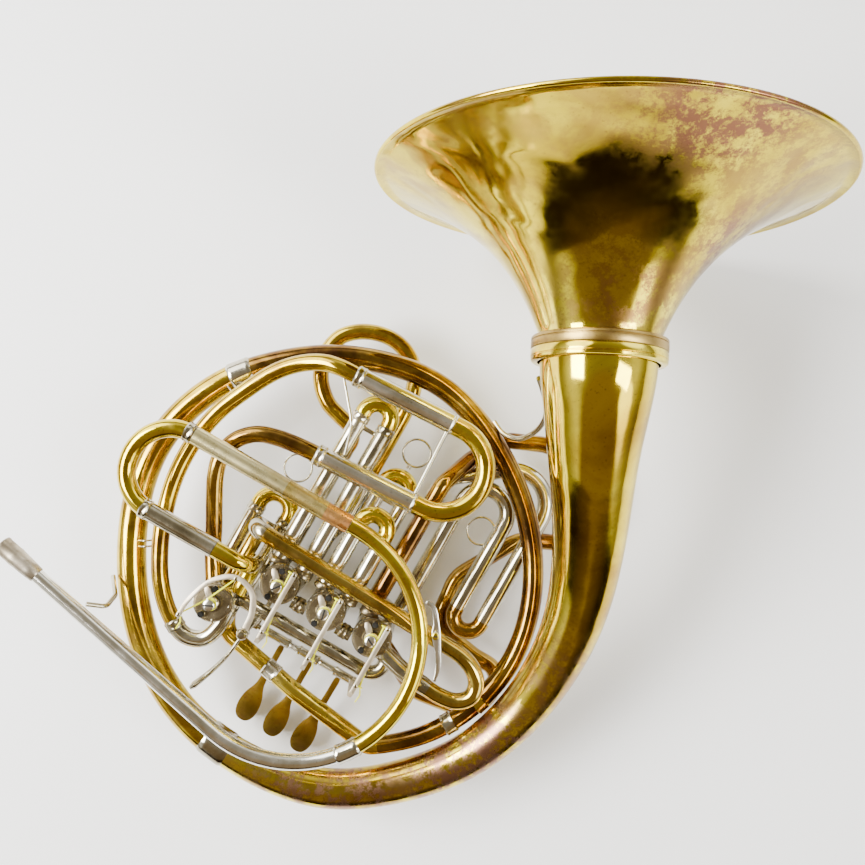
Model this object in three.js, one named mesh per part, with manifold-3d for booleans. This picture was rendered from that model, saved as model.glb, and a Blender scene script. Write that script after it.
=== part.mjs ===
// A double horn with rotary valves and a detachable bell, lying flat with its string linkages up.
//
// Millimetres. +X runs along the line of the three finger valves, +Y along their slides and +Z up.
// The finished group is moved so that the middle of its footprint is the origin and Z = 0 is the
// table. Every tube is hollow, and every piece is one closed solid in a node of its own.
import * as THREE from "three";
import { mergeVertices } from "three/addons/utils/BufferGeometryUtils.js";
import Module from "manifold-3d";

const wasm = await Module();
wasm.setup();

// Driving dimensions
const GAP = 0.3; // between pieces that touch
const WALL = 0.7; // of drawn tubing
const ARC_STEP = 30; // degrees between the stations of a bend
const FLAT = Math.cos(Math.PI / 8); // of an eight-sided tube, middle of a side against a corner

const RIM_RADIUS = 155; // bell rim
const BELL_YAW = 26.8; // degrees the bell axis is turned from +Y towards -X
const BELL_PITCH = 3.84; // degrees the bell mouth dips
const BELL_CENTRE = [17.5, 201.8]; // middle of the bell mouth, seen from above
const FLARE_DEPTH = 113.4; // bell mouth to the screw joint
const FLARE_SCALE = 111.8; // length scale of the flare's curve
const THROAT_DEPTH = 104; // bell mouth to where the flare turns into a short straight throat
const RING_RADIUS = 45;
const RING_WIDTH = 8.2;

const VALVE_Y = -154;
const VALVE_X = [-42, -2.5, 37]; // first, second and third finger valves
const CHANGE_VALVE = [-78, -190];
const CASING_RADIUS = 15;
const CASING_BOTTOM = 14;
const CASING_TOP = 92;
const LEG_OFFSET = 10.75; // slide legs either side of their valve
const CHANGE_LEGS = [-91.2, -65.4];

const UPPER_TIER = 76; // heights of the two layers of slides
const LOWER_TIER = 42;
const LEADPIPE_Z = 112;
const F_SLIDE_Z = 95;
const CROSS_Z = 90;
const CROSS_TUBE = 6.3;
const F_TUBE = 6.4;

const HUB_RADIUS = 4; // string hub on a rotor
const BAR_Z = 104.8; // underside of the lever bars
const BAR_WIDTH = 3.6;
const STRING_RADIUS = 0.6;
const HINGE_Y = -205;
const HINGE_Z = 32;

const SLEEVE = { outer: 6.6, inner: 6.0, leg: 5.7, bow: 6.4 };
const MAIN_SLEEVE = { outer: 6.8, inner: 6.2, leg: 5.9, bow: 6.6 };
const F_SLEEVE = { outer: 7.5, inner: 6.9, leg: 6.6, bow: 7.3 };
const BRIDGE_RADIUS = 1.8; // of the bars that hold a pair of sleeves

// Materials
function metal(color, roughness) {
  return new THREE.MeshStandardMaterial({ color, roughness, metalness: 1 });
}

const BRASS = metal(0xb08a3c, 0.28);
const DARK_BRASS = metal(0x7a5230, 0.34);
const NICKEL = metal(0xb9b4a6, 0.26);
const STRING = new THREE.MeshStandardMaterial({ color: 0xd8d23a, roughness: 0.8, metalness: 0 });

// Small tools
const radians = THREE.MathUtils.degToRad;

function point(x, y, z) {
  return new THREE.Vector3(x, y, z);
}

function toSolid(geometry) {
  const bare = new THREE.BufferGeometry();
  bare.setAttribute("position", geometry.getAttribute("position"));
  if (geometry.index) bare.setIndex(geometry.index);
  const merged = mergeVertices(bare, 1e-4);
  const vertProperties = new Float32Array(merged.getAttribute("position").array);
  const triVerts = new Uint32Array(merged.index.array);
  return new wasm.Manifold(new wasm.Mesh({ numProp: 3, vertProperties, triVerts }));
}

function toGeometry(solid) {
  const mesh = solid.getMesh();
  const geometry = new THREE.BufferGeometry();
  geometry.setAttribute("position", new THREE.BufferAttribute(mesh.vertProperties, 3));
  geometry.setIndex(new THREE.BufferAttribute(mesh.triVerts, 1));
  return geometry;
}

function joined(...geometries) {
  return toGeometry(geometries.map(toSolid).reduce((sum, next) => sum.add(next)));
}

function cut(geometry, ...cutters) {
  return toGeometry(cutters.map(toSolid).reduce((rest, next) => rest.subtract(next), toSolid(geometry)));
}

// A bar with square ends, from its middle and its size, turned about the vertical.
function block(x, y, z, length, width, height, turn = 0) {
  const geometry = new THREE.BoxGeometry(length, width, height);
  geometry.rotateZ(radians(turn));
  return geometry.translate(x, y, z);
}

// A solid of revolution about a vertical axis, from [radius, height] corners.
function turned(profile, x = 0, y = 0, sides = 24) {
  const corners = profile.map(([radius, height]) => new THREE.Vector2(radius, height));
  const geometry = new THREE.LatheGeometry(corners, sides);
  geometry.rotateX(Math.PI / 2);
  return geometry.translate(x, y, 0);
}

function drum(x, y, low, high, radius, sides = 24) {
  return turned([[0, low], [radius, low], [radius, high], [0, high]], x, y, sides);
}

// Stations along straight runs whose corners are rounded by arcs.
// A corner is [x, y, z, bend radius, tube radius from here on].
function rounded(corners, radius) {
  const at = corners.map(([x, y, z]) => point(x, y, z));
  const radii = [];
  for (const corner of corners) radii.push(corner[4] ?? radii.at(-1) ?? radius);
  const stations = [{ p: at[0], r: radii[0] }];
  for (let i = 1; i < at.length - 1; i++) {
    const back = at[i - 1].clone().sub(at[i]).normalize();
    const ahead = at[i + 1].clone().sub(at[i]).normalize();
    const turn = Math.PI - back.angleTo(ahead);
    const bend = corners[i][3];
    if (!bend || turn < 0.01) {
      stations.push({ p: at[i], r: radii[i] });
      continue;
    }
    const inward = back.clone().add(ahead).normalize();
    const centre = at[i].clone().addScaledVector(inward, bend / Math.cos(turn / 2));
    const spoke = at[i].clone().addScaledVector(back, bend * Math.tan(turn / 2)).sub(centre);
    const axis = ahead.clone().cross(back).normalize();
    const steps = Math.max(1, Math.ceil(THREE.MathUtils.radToDeg(turn) / ARC_STEP));
    for (let step = 0; step <= steps; step++) {
      const p = spoke.clone().applyAxisAngle(axis, (turn * step) / steps).add(centre);
      stations.push({ p, r: radii[i] });
    }
  }
  stations.push({ p: at.at(-1), r: radii.at(-1) });
  return stations;
}

// Stations along a curve through [x, y, z, tube radius] knots, which lie close enough to be its stations.
function flowing(knots) {
  return knots.map(([x, y, z, r]) => ({ p: point(x, y, z), r }));
}

// Stations along a smooth curve of one radius through [x, y, z] points.
function smooth(points, radius) {
  return flowing(points.map((p) => [...p, radius]));
}

// Two runs of stations that meet square to one another, with a small gap between them.
function split(stations, index) {
  const before = stations[index];
  const after = stations[index + 1];
  const middle = before.p.clone().lerp(after.p, 0.5);
  const heading = after.p.clone().sub(before.p).normalize();
  const r = (before.r + after.r) / 2;
  const end = { p: middle.clone().addScaledVector(heading, -GAP / 2), r };
  const start = { p: middle.clone().addScaledVector(heading, GAP / 2), r };
  return [[...stations.slice(0, index + 1), end], [start, ...stations.slice(index + 1)]];
}

// A ring of vertices round every station, carried along without twisting.
function rings(stations, sides, shrink) {
  const last = stations.length - 1;
  const tangents = stations.map((station, i) => {
    const back = stations[Math.max(i - 1, 0)].p;
    const ahead = stations[Math.min(i + 1, last)].p;
    const incoming = station.p.clone().sub(back).normalize();
    const outgoing = ahead.clone().sub(station.p).normalize();
    return incoming.add(outgoing).normalize();
  });
  const first = tangents[0];
  let normal = Math.abs(first.z) < 0.9 ? point(0, 0, 1) : point(1, 0, 0);
  const vertices = [];
  stations.forEach((station, i) => {
    const tangent = tangents[i];
    normal = normal.clone().addScaledVector(tangent, -normal.dot(tangent)).normalize();
    const side = tangent.clone().cross(normal);
    for (let k = 0; k < sides; k++) {
      const angle = (2 * Math.PI * (k + 0.5)) / sides;
      const p = station.p.clone();
      p.addScaledVector(normal, (station.r - shrink) * Math.cos(angle));
      p.addScaledVector(side, (station.r - shrink) * Math.sin(angle));
      vertices.push(p.x, p.y, p.z);
    }
  });
  return vertices;
}

function wallFaces(count, sides, start, flip) {
  const faces = [];
  for (let i = 0; i < count - 1; i++) {
    for (let k = 0; k < sides; k++) {
      const a = start + i * sides + k;
      const b = start + i * sides + ((k + 1) % sides);
      const quad = [a, b, b + sides, a, b + sides, a + sides];
      faces.push(...(flip ? quad.reverse() : quad));
    }
  }
  return faces;
}

function built(vertices, faces) {
  const geometry = new THREE.BufferGeometry();
  geometry.setAttribute("position", new THREE.Float32BufferAttribute(vertices, 3));
  geometry.setIndex(faces);
  return geometry;
}

// A hollow tube, open at both ends.
function tube(stations, sides = 8, wall = WALL) {
  const outer = rings(stations, sides, 0);
  const inner = rings(stations, sides, wall);
  const count = stations.length;
  const half = count * sides;
  const faces = [...wallFaces(count, sides, 0, false), ...wallFaces(count, sides, half, true)];
  for (let k = 0; k < sides; k++) {
    const next = (k + 1) % sides;
    faces.push(k, half + k, half + next, k, half + next, next);
    const end = half - sides;
    faces.push(end + k, end + next, half + end + next, end + k, half + end + next, half + end + k);
  }
  return built([...outer, ...inner], faces);
}

// A solid bar with flat ends.
function rod(stations, sides = 6) {
  const vertices = rings(stations, sides, 0);
  const count = stations.length;
  const faces = wallFaces(count, sides, 0, false);
  for (let k = 1; k < sides - 1; k++) {
    faces.push(0, k + 1, k);
    const end = (count - 1) * sides;
    faces.push(end, end + k, end + k + 1);
  }
  return built(vertices, faces);
}

function straight(from, to, radius) {
  return [{ p: point(...from), r: radius }, { p: point(...to), r: radius }];
}

const horn = new THREE.Group();

function place(name, geometry, material) {
  const mesh = new THREE.Mesh(geometry, material);
  mesh.name = name;
  horn.add(mesh);
}

// Space that a valve casing takes, cut from the tubes that are brazed to it.
function casingSpace(x, y) {
  return drum(x, y, CASING_BOTTOM - 4, CASING_TOP + 4, CASING_RADIUS + GAP, 32);
}

const valveSpace = VALVE_X.map((x) => casingSpace(x, VALVE_Y));
const changeSpace = casingSpace(...CHANGE_VALVE);

// Bell: flare, screw rings and tail
function bellAxis() {
  const level = Math.cos(radians(BELL_PITCH));
  const x = -Math.sin(radians(BELL_YAW)) * level;
  const y = Math.cos(radians(BELL_YAW)) * level;
  return point(x, y, -Math.sin(radians(BELL_PITCH)));
}

function flareRadius(depth) {
  return RIM_RADIUS * (1 + depth / FLARE_SCALE) ** -2;
}

const AXIS = bellAxis();
const RIM_WIRE = 1.6;
const MOUTH = point(...BELL_CENTRE, RIM_RADIUS * Math.cos(radians(BELL_PITCH)));

// Stands a turned profile, whose height is the depth behind the bell mouth, on the bell's axis.
function onBellAxis(profile, sides) {
  const corners = profile.map(([radius, depth]) => new THREE.Vector2(radius, -depth));
  const geometry = new THREE.LatheGeometry(corners, sides);
  geometry.applyQuaternion(new THREE.Quaternion().setFromUnitVectors(point(0, 1, 0), AXIS));
  return geometry.translate(MOUTH.x, MOUTH.y, MOUTH.z);
}

function buildBell() {
  const sides = 36;
  const wall = 0.8;
  const depths = [0, 5, 12, 21, 32, 45, 60, 80, THROAT_DEPTH];
  const inside = depths.map((depth) => [flareRadius(depth) - wall - RIM_WIRE, depth]);
  const outside = depths.map((depth) => [flareRadius(depth) - RIM_WIRE, depth]).reverse();
  const throat = flareRadius(THROAT_DEPTH) - RIM_WIRE;
  const collar = [[throat - wall, FLARE_DEPTH - 0.8], [throat, FLARE_DEPTH - 0.8]];
  outside.pop();
  const rim = [
    [RIM_RADIUS - 2.6, 3.4], [RIM_RADIUS, 2.4], [RIM_RADIUS, 0.6], [RIM_RADIUS - 1.4, -0.8],
    [RIM_RADIUS - 3.2, -0.4],
  ];
  const profile = [...inside, ...collar, ...outside, ...rim, inside[0]];
  place("bell_flare", onBellAxis(profile, sides), BRASS);

  const bore = throat + GAP;
  const joint = FLARE_DEPTH - GAP / 2;
  const upper = [
    [bore + 1.6, joint - RING_WIDTH], [RING_RADIUS - 1, joint - RING_WIDTH],
    [RING_RADIUS, joint - RING_WIDTH + 1], [RING_RADIUS, joint], [bore, joint], [bore, joint - 6],
  ];
  place("bell_ring", onBellAxis([...upper, upper[0]].reverse(), sides), NICKEL);
  const start = FLARE_DEPTH + GAP / 2;
  const lower = [
    [bore, start], [RING_RADIUS, start], [RING_RADIUS, start + RING_WIDTH - 1.5],
    [RING_RADIUS - 1.5, start + RING_WIDTH], [bore, start + RING_WIDTH],
  ];
  place("body_ring", onBellAxis([...lower, lower[0]].reverse(), sides), BRASS);
}

function buildBranches() {
  const neck = MOUTH.clone().addScaledVector(AXIS, -(FLARE_DEPTH + 2));
  const below = neck.clone().addScaledVector(AXIS, -14);
  const tail = [
    [neck.x, neck.y, neck.z, 39.3], [below.x, below.y, below.z, 38.6],
    [84, 73.5, 158.5, 36.2], [98.5, 45, 150, 31.5], [113, 24, 140, 28.2],
    [136, -14, 120, 25.4], [154, -50, 102, 23], [164.5, -86, 87, 20.8], [167, -125, 76, 18.8],
    [163.5, -160, 68, 17.6], [153, -194, 64, 16.8], [136, -222, 61, 16.2], [110, -250, 60, 15.6],
    [79, -275, 60, 15], [51, -286.5, 60, 14.4], [20, -291.5, 60, 13.6], [-8, -292.6, 60, 13],
  ];
  const outer = [
    [-40, -289.5, 60, 12.2], [-68, -281, 60, 11.8], [-99, -264, 60, 11.5],
    [-130, -236, 60, 11.3], [-153, -202, 60, 11.1], [-168, -172, 60, 11], [-178.5, -140, 60, 10.8],
    [-181, -106, 60, 10.6], [-173, -72, 60, 10.4], [-158.5, -43.5, 60, 10.2],
  ];
  const inner = [
    [-143, -24.5, 60, 9.8], [-118, -1, 60, 9.4], [-92, 17, 60, 9.2], [-51, 32.5, 60, 8.9],
    [-14.5, 37, 60, 8.8], [17, 30.5, 60, 8.6], [51, 15, 60, 8.5], [80, -4, 60, 8.4],
    [104, -27.5, 60, 8.2], [122, -53, 60, 8.1], [135, -81, 60, 8], [142, -110, 60, 7.9],
    [142, -143, 58.5, 7.7], [130, -182, 58.5, 7.4], [108, -213, 59.5, 7], [84, -230.5, 60, 6.8],
  ];
  const path = flowing([...tail, ...outer, ...inner]);
  const tailEnd = tail.length - 1;
  const [bellTail, rest] = split(path, tailEnd);
  const [outerBranch, innerBranch] = split(rest, outer.length);
  place("bell_tail", tube(bellTail, 16, 0.8), BRASS);
  place("outer_branch", tube(outerBranch, 12), BRASS);
  place("inner_branch", tube(innerBranch, 10), DARK_BRASS);

  const last = path.at(-1).p;
  const heading = last.clone().sub(path.at(-2).p).normalize();
  const next = last.clone().addScaledVector(heading, GAP);
  const on = last.clone().addScaledVector(heading, 8);
  const entry = [
    [next.x, next.y, 60, 0, 6.7], [on.x, on.y, 60, 12], [9, -226.5, 60, 40], [-62, -216.5, 48, 14],
    [CHANGE_VALVE[0] + 10, CHANGE_VALVE[1], 48, 0],
  ];
  place("branch_entry", cut(tube(rounded(entry)), changeSpace), BRASS);
}

// Leadpipe, main tuning slide and the way into the change valve
const MAIN = { top: -86.7, bottom: -150, left: -146.5, right: -18, lowerRight: -93.5 };
const LEADPIPE_JOIN = 3; // station round the leadpipe's turn where nickel gives way to brass

function buildLeadpipe() {
  const start = [-218, -224.9, LEADPIPE_Z, 0, 5];
  const turn = [77.3, -285.5, LEADPIPE_Z, 89.3, 5.9];
  const heading = point(turn[0] - start[0], turn[1] - start[1], 0).normalize();
  const route = rounded([
    start, turn, [77.3, -86.7, LEADPIPE_Z, 89.3, 6.1], [MAIN.right + GAP, MAIN.top, LEADPIPE_Z, 0, 6.2],
  ]);
  const [leadpipe, curve] = split(route, LEADPIPE_JOIN);
  place("leadpipe", tube(leadpipe), NICKEL);
  place("leadpipe_curve", tube(curve), BRASS);

  const receiver = new THREE.LatheGeometry([
    [5.3, 0], [7.2, 0], [7.4, -14], [6.4, -26], [5.6, -34], [5.3, -34],
  ].map(([r, h]) => new THREE.Vector2(r, h)).concat(new THREE.Vector2(5.3, 0)).reverse(), 16);
  const outwards = heading.clone().negate();
  receiver.applyQuaternion(new THREE.Quaternion().setFromUnitVectors(point(0, 1, 0), outwards));
  const mouth = point(...start.slice(0, 3)).addScaledVector(heading, -9);
  place("mouthpiece_receiver", receiver.translate(mouth.x, mouth.y, mouth.z), NICKEL);
}

function buildMainSlide() {
  const { outer, inner, leg, bow } = MAIN_SLEEVE;
  const wall = outer - inner;
  const sleeve = (y, right) => {
    const run = straight([MAIN.left, y, LEADPIPE_Z], [right, y, LEADPIPE_Z], outer);
    return tube(run, 10, wall);
  };
  const upper = sleeve(MAIN.top, MAIN.right);
  const lower = sleeve(MAIN.bottom, MAIN.lowerRight);
  const middle = (MAIN.top + MAIN.bottom) / 2;
  const span = MAIN.top - MAIN.bottom - 2 * outer;
  const brace = block(MAIN.left + 6, middle, LEADPIPE_Z, 5, span + 0.6, 2);
  place("main_slide_sleeves", joined(upper, lower, brace), NICKEL);

  const radius = (MAIN.top - MAIN.bottom) / 2;
  const edge = MAIN.left - GAP;
  const far = edge - 1 - radius;
  const crook = [
    [MAIN.left + 60, MAIN.top, LEADPIPE_Z, 0, leg], [edge, MAIN.top, LEADPIPE_Z, 0, leg],
    [edge - 0.1, MAIN.top, LEADPIPE_Z, 0, bow], [far, MAIN.top, LEADPIPE_Z, radius - 0.1],
    [far, MAIN.bottom, LEADPIPE_Z, radius - 0.1], [edge - 0.1, MAIN.bottom, LEADPIPE_Z, 0, bow],
    [edge, MAIN.bottom, LEADPIPE_Z, 0, leg], [MAIN.lowerRight - 2, MAIN.bottom, LEADPIPE_Z, 0, leg],
  ];
  place("main_slide_crook", tube(rounded(crook), 10), BRASS);

  const exit = [
    [MAIN.lowerRight + GAP, MAIN.bottom, LEADPIPE_Z, 0, 6.2], [-67, MAIN.bottom, LEADPIPE_Z, 13],
    [-67, MAIN.bottom, UPPER_TIER, 11], [-67, CHANGE_VALVE[1] + 6, UPPER_TIER, 0],
  ];
  place("main_slide_exit", cut(tube(rounded(exit)), changeSpace), BRASS);
}

// F tuning slide, turned a few degrees from the valve line
const F_TURN = radians(3);
const F_SLIDE = { x: 13, middle: -19.8, reach: 32.4, length: 81 };

// A point of the F slide: along it from its mouth, and across it from its middle line.
function onFSlide(along, across) {
  const x = F_SLIDE.x + along * Math.cos(F_TURN) - across * Math.sin(F_TURN);
  const y = F_SLIDE.middle + along * Math.sin(F_TURN) + across * Math.cos(F_TURN);
  return [x, y, F_SLIDE_Z];
}

function buildFSlide() {
  const { outer, inner, leg, bow } = F_SLEEVE;
  const { reach, length } = F_SLIDE;
  const sleeve = (side) => {
    const run = straight(onFSlide(-length, side * reach), onFSlide(0, side * reach), outer);
    return tube(run, 10, outer - inner);
  };
  const brace = rod(straight(onFSlide(-3, -reach + inner + 0.1), onFSlide(-3, reach - inner - 0.1), 1.6));
  place("f_slide_sleeves", joined(sleeve(1), sleeve(-1), brace), NICKEL);

  const end = reach + 6;
  const crook = [
    [...onFSlide(-50, reach), 0, leg], [...onFSlide(GAP, reach), 0, leg],
    [...onFSlide(GAP + 0.1, reach), 0, bow], [...onFSlide(end, reach), reach - 0.1],
    [...onFSlide(end, -reach), reach - 0.1], [...onFSlide(GAP + 0.1, -reach), 0, bow],
    [...onFSlide(GAP, -reach), 0, leg], [...onFSlide(-50, -reach), 0, leg],
  ];
  place("f_slide_crook", tube(rounded(crook), 10), BRASS);

  // One smooth arc beside the inner branch, from the change valve round to the upper sleeve.
  const supply = smooth([
    [-66.5, CHANGE_VALVE[1] + 4, UPPER_TIER], [-66.5, -205, UPPER_TIER], [-72, -221, UPPER_TIER],
    [-86, -226, UPPER_TIER], [-104, -217, 76.5], [-121, -200, 77], [-135, -176, 78], [-145, -150, 79],
    [-151, -122, 80], [-151.5, -94, 80.5], [-147, -68, 81], [-137.5, -44.5, 82.5], [-124, -19.5, 85],
    [-110, -4.5, 88], [-95, 4.5, 92], [-82, 7.6, 94.7], onFSlide(-length - GAP, reach),
  ], F_TUBE);
  place("f_supply", cut(tube(supply), changeSpace), BRASS);

  const back = smooth([
    onFSlide(-length - GAP, -reach), [-80, -57.6, 95], [-97, -60.3, 94], [-112, -66, 92.5], [-123, -77.5, 91],
    [-127, -93, 89], [-124, -108, 86], [-117, -124, 82], [-108, -142, 78], [-99, -160, UPPER_TIER],
    [CHANGE_VALVE[0] - 5, CHANGE_VALVE[1] + 4, UPPER_TIER],
  ], F_TUBE);
  place("f_return", cut(tube(back), changeSpace), DARK_BRASS);
}

// Tubes between the change valve and the finger valves
function buildLinks() {
  const [x, y] = CHANGE_VALVE;
  const rise = rounded([
    [x, y + 4, 62, 0, CROSS_TUBE], [x, -126.5, 62, 10], [x, -126.5, CROSS_Z, 10],
    [20, -129.7, CROSS_Z, 0],
  ]);
  const turn = smooth([
    [57, -130.8, CROSS_Z], [73, -131, CROSS_Z], [87, -131.3, CROSS_Z], [101, -132.5, 89.5],
    [113, -137, 89],
    [121, -145, 88.5], [122.5, -156, 88], [115, -164.5, 86.5], [102, -167.5, 85], [88, -167, 83.5],
    [72, -166.3, 80], [VALVE_X[2] + 5, -160, UPPER_TIER],
  ], CROSS_TUBE);
  place("cross_tube", cut(tube([...rise, ...turn]), changeSpace, valveSpace[2]), BRASS);

  const line = [
    [x + 6, -185, 62, 0, 5.6], [58, -185, 62, 10], [56, -166, 62, 8],
    [VALVE_X[2] + 4, VALVE_Y - 2, 62, 0],
  ];
  const clear = [changeSpace, valveSpace[2]];
  place("valve_line_tube", cut(tube(rounded(line)), ...clear), NICKEL);
}

// Valves
function buildValve(index, x, y) {
  const shell = turned([
    [13.2, CASING_BOTTOM], [CASING_RADIUS, CASING_BOTTOM], [CASING_RADIUS, CASING_TOP - 3],
    [14.2, CASING_TOP],
    [2.9, CASING_TOP], [2.9, CASING_TOP - 4], [13.2, CASING_TOP - 4], [13.2, CASING_BOTTOM],
  ], x, y);
  const stops = [104, 256].map((angle) => {
    const dx = 11 * Math.cos(radians(angle));
    const dy = 11 * Math.sin(radians(angle));
    return drum(x + dx, y + dy, CASING_TOP - 2, CASING_TOP + 5, 2.4, 10);
  });
  const knuckles = [];
  if (index === 2 || index === 3) {
    const left = VALVE_X[index - 2];
    const knuckle = rod(straight([left, y - 11.5, 66], [x - 6, y - 11.5, 66], 5.6), 10);
    knuckles.push(cut(knuckle, valveSpace[index - 2]));
  }
  let casing = joined(shell, ...stops, ...knuckles);
  casing = cut(casing, drum(x, y, CASING_BOTTOM + 1, CASING_TOP - 5, 13.2, 24));
  place(`casing_${index}`, casing, NICKEL);

  const cap = turned([
    [0, 0], [10, 0], [12, 3], [16, 6], [16, CASING_BOTTOM - GAP], [12.9, CASING_BOTTOM - GAP],
    [12.9, CASING_BOTTOM + 5], [11.4, CASING_BOTTOM + 5], [11.4, 8], [0, 8],
  ], x, y, 20);
  place(`bottom_cap_${index}`, cap, NICKEL);

  // The plug turns in its casing on a pivot below and a spindle that carries the string hub above.
  const plug = turned([
    [0, 21], [2.6, 21], [2.6, 24], [12.8, 24], [12.8, 86], [2.6, 86], [2.6, CASING_TOP + GAP],
    [5.4, CASING_TOP + GAP], [5.4, CASING_TOP + 4], [HUB_RADIUS, CASING_TOP + 4.6], [HUB_RADIUS, 102],
    [3, 103.6], [0, 103.6],
  ], x, y, 16);
  const passages = [LOWER_TIER, UPPER_TIER].flatMap((height) => [-1, 1].map((side) => {
    const across = straight([x + side * 10.6, y - 16, height], [x + side * 10.6, y + 16, height], 5.4);
    return rod(across, 6);
  }));
  const arm = block(x - 7.6, y, CASING_TOP + 2.2, 11, 4.6, 3);
  arm.translate(-x, -y, 0).rotateZ(radians(-45)).translate(x, y, 0);
  place(`rotor_${index}`, joined(cut(plug, ...passages), arm), NICKEL);
}

// Slides of the finger valves: a brazed pair of sleeves, and the crook that draws out of them
function bridged(left, right, y, z) {
  const reach = SLEEVE.inner * FLAT + 0.3;
  return rod(straight([left + reach, y, z], [right - reach, y, z], BRIDGE_RADIUS));
}

function sleevePair(name, left, right, height, low, high, space) {
  const { outer, inner } = SLEEVE;
  const leg = (x) => tube(straight([x, low, height], [x, high, height], outer), 8, outer - inner);
  const bridge = bridged(left, right, high - 9, height);
  const pair = joined(leg(left), leg(right), bridge);
  place(name, space ? cut(pair, space) : pair, NICKEL);
}

function bowCrook(name, left, right, height, low, high, material = BRASS) {
  const { leg, bow } = SLEEVE;
  const radius = (right - left) / 2;
  const edge = high + GAP;
  const top = edge + 2 + radius;
  const route = [
    [left, low, height, 0, leg], [left, edge, height, 0, leg], [left, edge + 0.1, height, 0, bow],
    [left, top, height, radius - 0.05], [right, top, height, radius - 0.05],
    [right, edge + 0.1, height, 0, bow], [right, edge, height, 0, leg], [right, low, height, 0, leg],
  ];
  place(name, tube(rounded(route)), material);
}

function buildShortSlides() {
  const [first, second] = VALVE_X;
  const legs = (x) => [x - LEG_OFFSET, x + LEG_OFFSET];
  const low = VALVE_Y + 6;
  sleevePair("first_bb_sleeves", ...legs(first), UPPER_TIER, low, -14, valveSpace[0]);
  bowCrook("first_bb_crook", ...legs(first), UPPER_TIER, -74, -14);
  sleevePair("second_bb_sleeves", ...legs(second), UPPER_TIER, low, -88, valveSpace[1]);
  bowCrook("second_bb_crook", ...legs(second), UPPER_TIER, -124, -88);
  sleevePair("second_f_sleeves", ...legs(second), LOWER_TIER, low, -56, valveSpace[1]);
  bowCrook("second_f_crook", ...legs(second), LOWER_TIER, -104, -56);

  const low4 = CHANGE_VALVE[1] + 4;
  sleevePair("change_sleeves", ...CHANGE_LEGS, LOWER_TIER, low4, -118, changeSpace);
  bowCrook("change_crook", ...CHANGE_LEGS, LOWER_TIER, -155, -118);
}

// The first valve's F slide ends in one wide loop that passes under the inner branch.
function buildFirstFSlide() {
  const z = LOWER_TIER;
  const { outer, inner, leg, bow } = SLEEVE;
  const left = VALVE_X[0] - LEG_OFFSET;
  const right = VALVE_X[0] + LEG_OFFSET;
  const loopRight = -26.6;
  const wall = outer - inner;
  const leftSleeve = tube(straight([left, VALVE_Y + 6, z], [left, -46, z], outer), 8, wall);
  const jog = [
    [right, VALVE_Y + 6, z, 0, outer], [right, -112, z, 22], [loopRight, -96, z, 22],
    [loopRight, -62, z, 0],
  ];
  const rightSleeve = tube(rounded(jog), 8, wall);
  const bridge = bridged(left, right, -124, z);
  const sleeves = cut(joined(leftSleeve, rightSleeve, bridge), valveSpace[0]);
  place("first_f_sleeves", sleeves, NICKEL);

  const start = rounded([
    [left, -80, z, 0, leg], [left, -46 + GAP, z, 0, leg], [left, -45.9 + GAP, z, 0, bow],
  ]);
  const loop = smooth([
    [left, -37, z], [-58, -29, z], [-70, -25.5, z], [-83, -21.3, z], [-95.6, -10.5, z], [-102.5, 2, z],
    [-104.3, 16, z], [-101, 29, z], [-93, 38, z], [-82, 44.5, z], [-68, 48, z], [-54, 46.5, z],
    [-42, 40, z], [-33, 29, z], [-28, 14, z], [loopRight, -2, z],
  ], bow);
  const end = rounded([
    [loopRight, -61.9 + GAP, z, 0, bow], [loopRight, -62 + GAP, z, 0, leg], [loopRight, -78, z, 0, leg],
  ]);
  place("first_f_crook", tube([...start, ...loop, ...end]), DARK_BRASS);
}

// The third valve's slides leave its short tubes in two long detours to the right.
const THIRD = {
  left: VALVE_X[2] - LEG_OFFSET, right: VALVE_X[2] + LEG_OFFSET, inside: 86, outside: 109, low: -110,
};

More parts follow.
